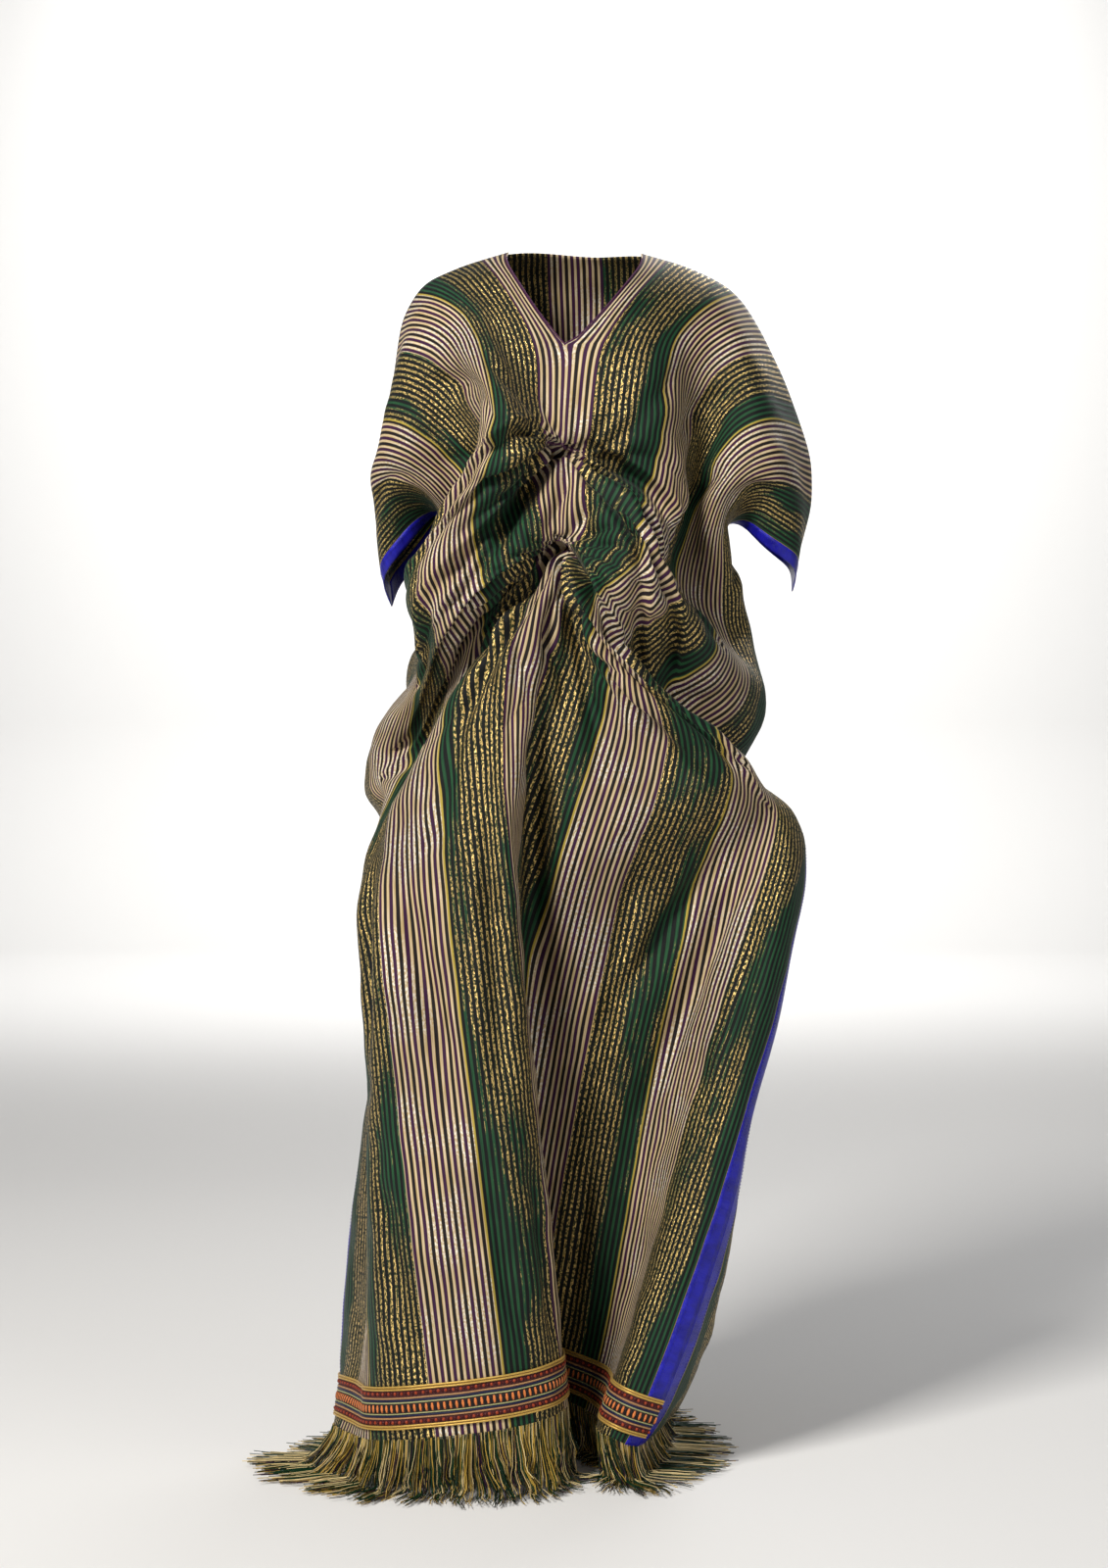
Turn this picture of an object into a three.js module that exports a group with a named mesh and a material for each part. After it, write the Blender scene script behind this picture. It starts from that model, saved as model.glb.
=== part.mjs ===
// A draped kaftan: a front and a back panel of striped cloth, sewn at the shoulders and the sides,
// drawn up at two points of the centre front and lifted at both sides.
// Millimetres. +Z is up, +X is to the right as seen from the front, -Y is the front.
// The origin is the middle of the neck opening, level with the shoulder seams.
import * as THREE from "three";

// Cut of the cloth, each panel measured from its middle and down from the shoulder
const HALF_WIDTH = 502;
const BINDING = 26;
const FULL = HALF_WIDTH + BINDING;
const COLUMN_COUNT = 18;
const NECK_HALF = 90;
const SLASH_DEPTH = 150;
const SLASH_ROW = 5;
const CUFF_DEPTH = 210;
const HIP = 920;
const UPPER_ROW = 34;
const LOWER_ROW = 41;
const CLOTH_LENGTH = 1760;
const HEM_ROWS = [24, 24, 16, 14];
const BACK_EASE = 0.17;

// Solid sizes
const WALL = 1.6;
const SEAM_GAP = 0.3;
const TRIM_WALL = 1.4;
const TRIM_LIFT = 0.4;
const LOCKS_PER_CELL = 2;
const LOCK_LENGTH = 95;
const LEAST_DROP = 14;
const FLOOR = -1502;

// Where the front is drawn up: v is the height in the cloth, reach the cloth taken in on each side
const GATHER_SPREAD = 34;
const GATHER_KEEP = 0.11;
const gathers = [
  { v: 340, reach: 92, x: -10, y: -136, z: -246 },
  { v: 624, reach: 92, x: -12, y: -136, z: -358 },
];

// Where the front is lifted: u and v in the cloth, x, y and z in space
const lifts = [
  { u: -222, v: 970, x: -228, y: -84, z: -690 },
  { u: -400, v: 950, x: -218, y: -14, z: -676 },
  { u: 390, v: 950, x: 252, y: -70, z: -689 },
];

// Threads of the front skirt from the hem upwards: the u of the thread, then x and z on its way
const skirtThreads = [
  { u: -318, way: [[-297, -1406], [-285, -1277], [-277, -1092], [-256, -969], [-246, -846], [-236, -780]] },
  { u: -222, way: [[-172, -1384], [-185, -1215], [-215, -1031], [-228, -846], [-234, -760]] },
  { u: -130, way: [[-73, -1352], [-80, -1215], [-98, -1092], [-125, -908], [-145, -740]] },
  { u: -90, way: [[-37, -1335], [-38, -1200], [-42, -1000], [-50, -850]] },
  { u: 219, way: [[-18, -1387], [-12, -1264], [25, -1154], [31, -1031], [25, -908], [31, -785]] },
  { u: 316, way: [[62, -1424], [50, -1280], [39, -1092], [31, -981], [49, -908], [92, -846], [150, -730]] },
  { u: 402, way: [[105, -1406], [88, -1280], [68, -1154], [92, -1055], [166, -908], [228, -730]] },
  {
    u: 528,
    way: [[172, -1405], [163, -1301], [150, -1209], [160, -1184], [197, -1117], [234, -1018], [270, -908], [285, -791]],
  },
];

// Other points that the cloth leans towards: u and v in the cloth, x, y and z in space, and how strongly
const frontLeans = [
  { u: 65, v: 1706, x: -28, y: -15, z: -1360, pull: 1 },
  { u: 65, v: 1548, x: -30, y: -30, z: -1200, pull: 1 },
  { u: 65, v: 1348, x: -32, y: -70, z: -1000, pull: 1 },
  { u: -528, v: 215, x: -148, y: 20, z: -372, pull: 0.6 },
  { u: 528, v: 215, x: 208, y: 20, z: -352, pull: 0.6 },
  { u: -528, v: 420, x: -150, y: 70, z: -480, pull: 0.5 },
  { u: -528, v: 620, x: -165, y: 80, z: -620, pull: 0.5 },
  { u: -528, v: 820, x: -195, y: 60, z: -720, pull: 0.5 },
  { u: -528, v: 950, x: -212, y: 40, z: -750, pull: 0.5 },
  { u: -528, v: 1118, x: -225, y: 50, z: -870, pull: 0.5 },
  { u: -528, v: 1706, x: -262, y: 60, z: -1405, pull: 0.5 },
  { u: 528, v: 420, x: 195, y: 70, z: -480, pull: 0.5 },
  { u: 528, v: 620, x: 205, y: 80, z: -640, pull: 0.5 },
  { u: 528, v: 820, x: 235, y: 60, z: -740, pull: 0.5 },
  { u: 528, v: 950, x: 280, y: 10, z: -735, pull: 0.5 },
];
const backLeans = [
  { u: -300, v: 1706, x: -200, y: 130, z: -1415, pull: 0.4 },
  { u: -150, v: 1706, x: -120, y: 190, z: -1425, pull: 0.4 },
  { u: 0, v: 1706, x: -20, y: 210, z: -1430, pull: 0.4 },
  { u: 150, v: 1706, x: 80, y: 200, z: -1425, pull: 0.4 },
  { u: 300, v: 1706, x: 160, y: 150, z: -1415, pull: 0.4 },
  { u: 420, v: 1508, x: 205, y: 60, z: -1210, pull: 0.4 },
  { u: 420, v: 1706, x: 180, y: 40, z: -1400, pull: 0.4 },
];

// How far the cloth reaches to the left and to the right at a height, below the sleeves
const outline = [
  { z: -380, left: -212, right: 290 },
  { z: -440, left: -204, right: 262 },
  { z: -612, left: -210, right: 262 },
  { z: -676, left: -230, right: 262 },
  { z: -748, left: -241, right: 277 },
  { z: -800, left: -241, right: 286 },
  { z: -908, left: -248, right: 272 },
  { z: -1018, left: -263, right: 238 },
  { z: -1092, left: -276, right: 208 },
  { z: -1203, left: -281, right: 216 },
  { z: -1277, left: -285, right: 213 },
  { z: -1363, left: -292, right: 191 },
  { z: -1502, left: -305, right: 175 },
];

// The lines of the shoulder seams from the neck, over the shoulder and down the sleeve
const shoulderLines = [
  [
    [-74, 5, 2], [-130, 8, -14], [-185, 8, -38], [-209, 10, -84], [-221, 12, -170], [-230, 14, -268],
    [-236, 16, -330], [-226, 18, -395], [-222, 18, -440],
  ],
  [
    [90, 5, 0], [150, 8, -16], [207, 8, -44], [238, 10, -90], [272, 12, -160], [304, 14, -250],
    [306, 16, -310], [284, 18, -394], [280, 18, -440],
  ],
];

// A general figure in rounded parts: ends, radius at each end, depth as a share of the width
const torsoParts = [
  { a: [6, 5, 60], b: [6, 5, -40], ra: 52, rb: 58, depth: 1 },
  { a: [-132, 8, -66], b: [148, 8, -72], ra: 50, rb: 50, depth: 1 },
  { a: [4, -5, -120], b: [2, -10, -230], ra: 145, rb: 138, depth: 0.74 },
  { a: [-66, -62, -195], b: [70, -62, -195], ra: 66, rb: 66, depth: 1 },
  { a: [2, -8, -230], b: [-2, -5, -430], ra: 134, rb: 112, depth: 0.74 },
  { a: [-2, -5, -430], b: [-6, 0, -640], ra: 112, rb: 158, depth: 0.74 },
  { a: [-80, 0, -660], b: [-112, 0, -1000], ra: 88, rb: 60, depth: 1 },
  { a: [68, 0, -660], b: [62, 5, -1000], ra: 88, rb: 60, depth: 1 },
  { a: [-112, 0, -1000], b: [-125, 15, -1440], ra: 60, rb: 45, depth: 1 },
  { a: [62, 5, -1000], b: [58, 20, -1440], ra: 60, rb: 45, depth: 1 },
];
const armLines = [
  [[-158, 8, -74], [-196, 14, -350], [-240, -50, -600]],
  [[172, 8, -80], [258, 14, -345], [270, -50, -600]],
];
const ARM_RADII = [44, 36, 26];

// How the cloth is let down
const REST_STEPS = 150;
const MOVE_STEPS = 2000;
const SETTLE_STEPS = 1700;
const THREAD_PASSES = 4;
const FALL = 9810 / (500 * 500);
const CARRY = 0.992;
const LAYER_GAP = 21;
const FIGURE_GAP = 6;
const BEND = 20;
const BEND_GAP = 0.38;
const LEAN = 0.06;
const SMOOTH_PASSES = 4;
const FINISH_PASSES = 30;
const PARTED = 3.4;
const SHARPEST = 0.86;

const ease = (t) => {
  const c = Math.min(1, Math.max(0, t));
  return c * c * (3 - 2 * c);
};
const mix = (a, b, t) => a.map((x, m) => x + (b[m] - x) * t);
const subtract = (a, b) => a.map((x, m) => x - b[m]);
const add = (a, b, share = 1) => a.map((x, m) => x + b[m] * share);
const dot = (a, b) => a[0] * b[0] + a[1] * b[1] + a[2] * b[2];
const cross = (a, b) => [a[1] * b[2] - a[2] * b[1], a[2] * b[0] - a[0] * b[2], a[0] * b[1] - a[1] * b[0]];
const unit = (a) => {
  const n = Math.hypot(...a) || 1;
  return a.map((x) => x / n);
};
const nearest = (list, value) =>
  list.reduce((best, x, k) => (Math.abs(x - value) < Math.abs(list[best] - value) ? k : best), 0);

// Rows of the cloth
function measureRows() {
  const rows = [];
  for (let j = 0; j <= SLASH_ROW; j++) rows.push((SLASH_DEPTH * j) / SLASH_ROW);
  const addEven = (to, step) => {
    const from = rows.at(-1);
    const count = Math.round((to - from) / step);
    for (let j = 1; j <= count; j++) rows.push(from + ((to - from) * j) / count);
  };
  addEven(HIP, UPPER_ROW);
  addEven(CLOTH_LENGTH - HEM_ROWS.reduce((a, b) => a + b, 0), LOWER_ROW);
  for (const h of HEM_ROWS) rows.push(rows.at(-1) + h);
  return rows;
}
const rows = measureRows();
const ROWS = rows.length;
const CUFF_ROW = nearest(rows, CUFF_DEPTH);
const TRIM_ROW = ROWS - 1 - HEM_ROWS.length;
const EDGE_ROW = ROWS - 2;

// Columns of the cloth: the slash opens, and the columns beside it close up towards the sides
const half = [];
for (let k = 0; k <= COLUMN_COUNT; k++) half.push((HALF_WIDTH * k) / COLUMN_COUNT);
half.push(FULL);
const MIDDLE = half.length - 1;
const opened = (u, v, side) => {
  const open = NECK_HALF * Math.max(0, 1 - v / SLASH_DEPTH);
  return side * (Math.abs(u) + open * (1 - Math.abs(u) / FULL));
};
const neckPlaces = [-0.66, -0.33, 0, 0.33, 0.66].map((share) => share * NECK_HALF);
const frontU = [...half.slice(1).reverse().map((u) => -u), ...half];
const backU = [
  ...half.slice().reverse().map((u) => opened(u, 0, -1)),
  ...neckPlaces,
  ...half.map((u) => opened(u, 0, 1)),
];
const BACK_LAST = backU.length - 1;

function alongLine(line, length) {
  let left = length;
  for (let k = 0; k + 1 < line.length; k++) {
    const d = Math.hypot(...subtract(line[k + 1], line[k]));
    if (left <= d || k + 2 === line.length) return mix(line[k], line[k + 1], left / d);
    left -= d;
  }
  return line.at(-1);
}

// A line turned down from level, share 0, to where it ends up, share 1
function turnedLine(line, side, share) {
  const out = [line[0]];
  for (let k = 1; k < line.length; k++) {
    const way = subtract(line[k], line[k - 1]);
    const length = Math.hypot(...way);
    const direction = unit(mix([side, 0, -0.1], unit(way), share));
    out.push(add(out[k - 1], direction, length));
  }
  return out;
}

// Points of the cloth, at first a level tube that hangs from the shoulder lines
const levelLines = [turnedLine(shoulderLines[0], -1, 0), turnedLine(shoulderLines[1], 1, 0)];
function levelPoint(side, u, v, front) {
  const depth = 155 * Math.min(1, v / 160);
  const flat = FULL - (depth * Math.PI) / 2;
  const turn = u > flat ? (u - flat) / depth : 0;
  const line = levelLines[side < 0 ? 0 : 1];
  const p = alongLine(line, u > flat ? flat + depth * Math.sin(turn) : u);
  const closing = front ? Math.min(1, v / SLASH_DEPTH) * (1 - u / FULL) : 0;
  return [p[0] - line[0][0] * closing, p[1] + (front ? -1 : 1) * depth * Math.cos(turn), p[2] - v];
}
const points = [];
const places = [];
const frontAt = [];
const slashRight = [];
const backAt = [];
function addPoint(p, panel, u, v) {
  points.push(p);
  places.push({ panel, u, v });
  return points.length - 1;
}
function frontPoint(u, v, i, j) {
  const side = u < 0 || (i === MIDDLE && j < SLASH_ROW) ? -1 : 1;
  const p = levelPoint(side, Math.abs(u), v, true);
  if (i === MIDDLE && j >= SLASH_ROW) p[0] = 0;
  p[1] += 150 * Math.exp(-(((u - 65) / 80) ** 2)) * ease((v - 850) / 400);
  return p;
}
function backPoint(k, j) {
  const v = rows[j];
  const fromEdge = Math.min(k, BACK_LAST - k);
  const side = k < BACK_LAST / 2 ? -1 : 1;
  const twin = side < 0 ? fromEdge : 2 * MIDDLE - fromEdge;
  if (fromEdge <= MIDDLE && j === 0) return fromEdge === MIDDLE && side > 0 ? slashRight[0] : frontAt[0][twin];
  if (fromEdge === 0 && j >= CUFF_ROW) return frontAt[j][twin];
  if (fromEdge <= MIDDLE) return addPoint(levelPoint(side, half[MIDDLE - fromEdge], v, false), 1, backU[k], v);
  const t = (backU[k] / NECK_HALF + 1) / 2;
  const depth = 20 + 62 * Math.sin(Math.PI * t) + 100 * Math.min(1, v / 200);
  return addPoint([-74 + 164 * t, depth, -v], 1, backU[k], v);
}
for (let j = 0; j < ROWS; j++) {
  frontAt.push(frontU.map((u, i) => addPoint(frontPoint(u, rows[j], i, j), 0, u, rows[j])));
  slashRight.push(j < SLASH_ROW ? addPoint(levelPoint(1, 0, rows[j], true), 0, 0, rows[j]) : frontAt[j][MIDDLE]);
}
for (let j = 0; j < ROWS; j++) backAt.push(backU.map((u, k) => backPoint(k, j)));
const COUNT = points.length;
const pos = new Float64Array(COUNT * 3);
points.forEach((p, k) => pos.set(p, k * 3));
const at = (k) => [pos[k * 3], pos[k * 3 + 1], pos[k * 3 + 2]];

// Threads between the points, with the length that the cut gives them
const threads = [];
function gatherShare(u, v) {
  const inside = gathers.some((g) => Math.abs(v - g.v) < g.reach);
  return inside ? 1 - (1 - GATHER_KEEP) * Math.exp(-((u / GATHER_SPREAD) ** 2)) : 1;
}
const backShare = (u) => 1 - BACK_EASE * (1 - Math.min(1, Math.abs(u) / FULL) ** 2);
function threadLength(across, u, j0, j1, share) {
  let down = 0;
  for (let j = Math.min(j0, j1); j < Math.max(j0, j1); j++)
    down += (rows[j + 1] - rows[j]) * share(u, (rows[j] + rows[j + 1]) / 2);
  return Math.hypot(across, down);
}
const ties = [
  { di: 1, dj: 0, hold: 1 }, { di: 0, dj: 1, hold: 1 },
  { di: 1, dj: 1, hold: 0.25 }, { di: 1, dj: -1, hold: 0.25 },
  { di: 2, dj: 0, hold: 0.04 }, { di: 0, dj: 2, hold: 0.04 },
];
function addThread(a, b, length, hold) {
  if (a !== b) threads.push({ a, b, length, hold });
}
function tieFront(i, j, tie) {
  const i1 = i + tie.di;
  const j1 = j + tie.dj;
  if (i1 >= frontU.length || j1 >= ROWS || j1 < 0) return;
  if (Math.min(j, j1) < SLASH_ROW && (i - MIDDLE) * (i1 - MIDDLE) < 0) return;
  const side = Math.sign(i + i1 - 2 * MIDDLE);
  const point = (c, r) => (c === MIDDLE && side > 0 ? slashRight[r] : frontAt[r][c]);
  const across = (c, r) => opened(frontU[c], rows[r], Math.sign(frontU[c]) || side || -1);
  const u = (frontU[i] + frontU[i1]) / 2;
  const length = threadLength(across(i1, j1) - across(i, j), u, j, j1, gatherShare);
  addThread(point(i, j), point(i1, j1), length, tie.hold);
  if (side === 0 && Math.min(j, j1) < SLASH_ROW) addThread(slashRight[j], slashRight[j1], length, tie.hold);
}
function tieBack(k, j, tie) {
  const k1 = k + tie.di;
  const j1 = j + tie.dj;
  if (k1 > BACK_LAST || j1 >= ROWS || j1 < 0) return;
  const length = threadLength(backU[k1] - backU[k], (backU[k] + backU[k1]) / 2, j, j1, backShare);
  addThread(backAt[j][k], backAt[j1][k1], length, tie.hold);
}
for (let j = 0; j < ROWS; j++)
  for (const tie of ties) {
    frontU.forEach((u, i) => tieFront(i, j, tie));
    backU.forEach((u, k) => tieBack(k, j, tie));
  }

// The sewn edges are stiffer than the cloth: they bend in wider curves
function stiffenColumn(panelAt, column) {
  for (let j = 0; j + 2 < ROWS; j++)
    addThread(panelAt[j][column], panelAt[j + 2][column], rows[j + 2] - rows[j], 0.25);
}
function openSeam(j, n, width, hold) {
  addThread(frontAt[j][n], backAt[j][n], width, hold);
  addThread(frontAt[j][2 * MIDDLE - n], backAt[j][BACK_LAST - n], width, hold);
}
for (const n of [0, 1]) {
  for (const column of [n, 2 * MIDDLE - n]) stiffenColumn(frontAt, column);
  for (const column of [n, BACK_LAST - n]) stiffenColumn(backAt, column);
}
for (let j = CUFF_ROW; j < ROWS; j++) {
  openSeam(j, 1, 2 * BINDING * 0.92, 0.2);
  openSeam(j, 2, 2 * (FULL - half[MIDDLE - 2]) * 0.8, 0.06);
}
for (let n = 0; n < MIDDLE; n++) openSeam(1, n, 2 * rows[1] * 0.9, 0.2);

// Held points follow a path from the level tube to where they end up
const free = new Uint8Array(COUNT).fill(1);
const held = [];
function hold(k, path) {
  held.push({ k, path });
  free[k] = 0;
}
function holdAt(k, target) {
  const from = at(k);
  hold(k, (t) => mix(from, target, ease(t)));
}
const shoulderPoint = (side, length, t) =>
  alongLine(turnedLine(shoulderLines[side < 0 ? 0 : 1], side, ease(t / 0.8)), length);
function holdShoulders() {
  frontU.forEach((u, i) => hold(frontAt[0][i], (t) => shoulderPoint(u <= 0 ? -1 : 1, Math.abs(u), t)));
  hold(slashRight[0], (t) => shoulderPoint(1, 0, t));
}
function holdGathers() {
  for (const g of gathers)
    rows.forEach((v, j) => {
      const down = (v - g.v) / g.reach;
      if (Math.abs(down) <= 0.75) holdAt(frontAt[j][MIDDLE], [g.x, g.y, g.z - 9 * down]);
    });
  holdAt(frontAt[SLASH_ROW][MIDDLE], [-2, -102, -128]);
}
function holdLifts() {
  for (const l of lifts) holdAt(frontAt[nearest(rows, l.v)][nearest(frontU, l.u)], [l.x, l.y, l.z]);
}
holdShoulders();
holdGathers();
holdLifts();

// Leans draw a point of the cloth softly towards a place in space
const leans = [];
function leanTo(panelAt, columns, l) {
  leans.push({ k: panelAt[nearest(rows, l.v)][nearest(columns, l.u)] * 3, x: l.x, y: l.y, z: l.z, pull: l.pull });
}
for (const l of frontLeans) leanTo(frontAt, frontU, l);
for (const l of backLeans) leanTo(backAt, backU, l);
for (const { u, way } of skirtThreads) {
  let v = rows[TRIM_ROW + 1];
  way.forEach(([x, z], n) => {
    if (n) v -= Math.hypot(x - way[n - 1][0], z - way[n - 1][1]);
    const row = rows[nearest(rows, v)];
    leanTo(frontAt, frontU, { u, v: row, x, y: null, z: z - (row - v), pull: 1 });
  });
}
function drawLeans(strength) {
  for (const l of leans)
    [l.x, l.y, l.z].forEach((target, m) => {
      if (target === null || !free[l.k / 3]) return;
      const d = (target - pos[l.k + m]) * strength * l.pull;
      pos[l.k + m] += d;
      before[l.k + m] += d * 0.9;
    });
}

// The figure pushes the cloth out
function armParts(share) {
  return armLines.flatMap((line, n) => {
    const [a, b, c] = turnedLine(line, n ? 1 : -1, share);
    return [
      { a, b, ra: ARM_RADII[0], rb: ARM_RADII[1], depth: 1 },
      { a: b, b: c, ra: ARM_RADII[1], rb: ARM_RADII[2], depth: 1 },
    ];
  });
}
function pushOut(part, q) {
  const x = pos[q] - part.a[0];
  const y = (pos[q + 1] - part.a[1]) / part.depth;
  const z = pos[q + 2] - part.a[2];
  const dx = part.b[0] - part.a[0];
  const dy = (part.b[1] - part.a[1]) / part.depth;
  const dz = part.b[2] - part.a[2];
  const t = Math.min(1, Math.max(0, (x * dx + y * dy + z * dz) / (dx * dx + dy * dy + dz * dz)));
  const r = part.ra + (part.rb - part.ra) * t + FIGURE_GAP;
  const ex = x - t * dx;
  const ey = y - t * dy;
  const ez = z - t * dz;
  const d = Math.sqrt(ex * ex + ey * ey + ez * ez);
  if (d >= r || d < 1e-6) return false;
  const more = r / d - 1;
  pos[q] += ex * more;
  pos[q + 1] += ey * more * part.depth;
  pos[q + 2] += ez * more;
  return true;
}

// Layers of cloth keep apart: points and the middles of cells are compared with one another
const samples = [];
function addCell(a, b, c, d, panel, u, j) {
  samples.push({ corners: [a, b, c, d], panel, u, v: (rows[j] + rows[j + 1]) / 2 });
}
places.forEach((p, k) => samples.push({ corners: [k, k, k, k], panel: p.panel, u: p.u, v: p.v }));
for (let j = 0; j + 1 < ROWS; j++) {
  for (let i = 0; i + 1 < frontU.length; i++) {
    const left = i === MIDDLE ? slashRight : frontAt.map((row) => row[i]);
    const u = (frontU[i] + frontU[i + 1]) / 2;
    addCell(left[j], frontAt[j][i + 1], left[j + 1], frontAt[j + 1][i + 1], 0, u, j);
  }
  for (let k = 0; k < BACK_LAST; k++) {
    const u = (backU[k] + backU[k + 1]) / 2;
    addCell(backAt[j][k], backAt[j][k + 1], backAt[j + 1][k], backAt[j + 1][k + 1], 1, u, j);
  }
}
const corners = Int32Array.from(samples.flatMap((s) => s.corners.map((k) => k * 3)));
const spots = new Float64Array(samples.length * 3);
const inGather = (s) =>
  s.panel === 0 && Math.abs(s.u) < 80 && gathers.some((g) => Math.abs(s.v - g.v) < g.reach + 30);
function gapBetween(a, b) {
  const du = Math.abs(a.u - b.u);
  const dv = Math.abs(a.v - b.v);
  if (inGather(a) && inGather(b) && dv < 240) return 0;
  const ways = a.panel === b.panel ? [Math.hypot(du, dv)] : [Math.hypot(a.v + b.v, du)];
  if (a.panel !== b.panel && a.u * b.u > 0) ways.push(Math.hypot(2 * FULL - Math.abs(a.u) - Math.abs(b.u), dv));
  return Math.min(LAYER_GAP, (Math.min(...ways) - BEND) * BEND_GAP);
}
function placeSpots() {
  for (let s = 0; s < samples.length; s++)
    for (let m = 0; m < 3; m++) {
      const c = s * 4;
      spots[s * 3 + m] =
        (pos[corners[c] + m] + pos[corners[c + 1] + m] + pos[corners[c + 2] + m] + pos[corners[c + 3] + m]) / 4;
    }
}
const spotDistance = (a, b) =>
  Math.hypot(spots[a * 3] - spots[b * 3], spots[a * 3 + 1] - spots[b * 3 + 1], spots[a * 3 + 2] - spots[b * 3 + 2]);
function sortSpots(size) {
  const boxes = new Map();
  for (let s = 0; s < samples.length; s++) {
    const [x, y, z] = [0, 1, 2].map((m) => Math.floor(spots[s * 3 + m] / size) + 512);
    const key = x * 1048576 + y * 1024 + z;
    if (boxes.has(key)) boxes.get(key).push(s);
    else boxes.set(key, [s]);
  }
  return boxes;
}
const around = [-1, 0, 1].flatMap((x) =>
  [-1, 0, 1].flatMap((y) => [-1, 0, 1].map((z) => x * 1048576 + y * 1024 + z)),
);
function findClosePairs() {
  placeSpots();
  const size = LAYER_GAP * 1.4;
  const boxes = sortSpots(size);
  const pairs = [];
  for (const [key, list] of boxes)
    for (const step of around)
      for (const b of boxes.get(key + step) ?? [])
        for (const a of list) {
          if (a >= b || spotDistance(a, b) > size) continue;
          const gap = gapBetween(samples[a], samples[b]);
          if (gap > 3) pairs.push(a * 4, b * 4, gap);
        }
  return pairs;
}
function shiftSample(c, x, y, z) {
  const share = corners[c] === corners[c + 1] ? 0.25 : 1;
  for (let m = 0; m < 4; m++) {
    const q = corners[c + m];
    if (!free[q / 3]) continue;
    pos[q] += x * share;
    pos[q + 1] += y * share;
    pos[q + 2] += z * share;
  }
}
function separate(pairs) {
  for (let n = 0; n < pairs.length; n += 3) {
    const [a, b, gap] = [pairs[n], pairs[n + 1], pairs[n + 2]];
    let [dx, dy, dz] = [0, 0, 0];
    for (let m = 0; m < 4; m++) {
      const [p, q] = [corners[a + m], corners[b + m]];
      dx += (pos[p] - pos[q]) / 4;
      dy += (pos[p + 1] - pos[q + 1]) / 4;
      dz += (pos[p + 2] - pos[q + 2]) / 4;
    }
    const d = Math.sqrt(dx * dx + dy * dy + dz * dz);
    if (d >= gap || d < 1e-9) continue;
    const f = ((gap - d) / d) * 0.25;
    shiftSample(a, dx * f, dy * f, dz * f);
    shiftSample(b, -dx * f, -dy * f, -dz * f);
  }
}

// One pass over the threads brings each back towards its length
const threadA = Int32Array.from(threads, (t) => t.a * 3);
const threadB = Int32Array.from(threads, (t) => t.b * 3);
const threadLengths = Float64Array.from(threads, (t) => t.length);
const threadHolds = Float64Array.from(threads, (t) => t.hold);
function pullThreads() {
  for (let n = 0; n < threadA.length; n++) {
    const a = threadA[n];
    const b = threadB[n];
    const freeA = free[a / 3];
    const freeB = free[b / 3];
    if (freeA + freeB === 0) continue;
    const dx = pos[b] - pos[a];
    const dy = pos[b + 1] - pos[a + 1];
    const dz = pos[b + 2] - pos[a + 2];
    const d = Math.sqrt(dx * dx + dy * dy + dz * dz);
    if (d < 1e-9) continue;
    const f = (((d - threadLengths[n]) / d) * threadHolds[n]) / (freeA + freeB);
    pos[a] += dx * f * freeA;
    pos[a + 1] += dy * f * freeA;
    pos[a + 2] += dz * f * freeA;
    pos[b] -= dx * f * freeB;
    pos[b + 1] -= dy * f * freeB;
    pos[b + 2] -= dz * f * freeB;
  }
}

const before = pos.slice();
function fall(carry) {
  for (let q = 0; q < pos.length; q++) {
    if (!free[Math.floor(q / 3)]) continue;
    const v = (pos[q] - before[q]) * carry;
    before[q] = pos[q];
    pos[q] += v - (q % 3 === 2 ? FALL : 0);
  }
}
function moveHeld(t) {
  for (const h of held) {
    const p = h.path(t);
    pos.set(p, h.k * 3);
    before.set(p, h.k * 3);
  }
}
function outlineAt(z) {
  const n = outline.findIndex((o) => o.z < z);
  if (n === 0) return null;
  if (n < 0) return outline.at(-1);
  const t = (outline[n - 1].z - z) / (outline[n - 1].z - outline[n].z);
  const [left, right] = mix([outline[n - 1].left, outline[n - 1].right], [outline[n].left, outline[n].right], t);
  return { left, right };
}
function keepInOutline(q, strength) {
  const limit = outlineAt(pos[q + 2]);
  if (!limit) return;
  const beyond = Math.max(0, pos[q] - limit.right + 2) + Math.min(0, pos[q] - limit.left - 2);
  pos[q] -= beyond * strength;
  before[q] -= beyond * strength * 0.9;
}
function meetSurroundings(t, parts) {
  const floor = FLOOR + 34 - 400 * (1 - ease(t * 1.2));
  const outlineStrength = 0.1 * ease((t - 0.6) * 2.5);
  for (let q = 0; q < pos.length; q += 3) {
    if (!free[q / 3]) continue;
    for (const part of parts)
      if (pushOut(part, q)) for (let m = 0; m < 3; m++) before[q + m] += (pos[q + m] - before[q + m]) * 0.4;
    if (outlineStrength) keepInOutline(q, outlineStrength);
    if (pos[q + 2] >= floor) continue;
    pos[q + 2] = floor;
    before[q + 2] = floor;
  }
}
function drape() {
  let pairs = [];
  for (let s = 0; s < REST_STEPS + MOVE_STEPS + SETTLE_STEPS; s++) {
    const t = Math.min(1, Math.max(0, s - REST_STEPS) / MOVE_STEPS);
    fall(s < REST_STEPS ? 0 : CARRY);
    if (s <= REST_STEPS + MOVE_STEPS) moveHeld(t);
    for (let pass = 0; pass < THREAD_PASSES; pass++) pullThreads();
    if (s % 8 === 0) pairs = findClosePairs();
    separate(pairs);
    const strength = LEAN * ease((t - 0.3) * 1.5);
    if (strength > 0) drawLeans(strength);
    meetSurroundings(t, [...torsoParts, ...armParts(ease(t / 0.8))]);
  }
}
drape();

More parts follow.
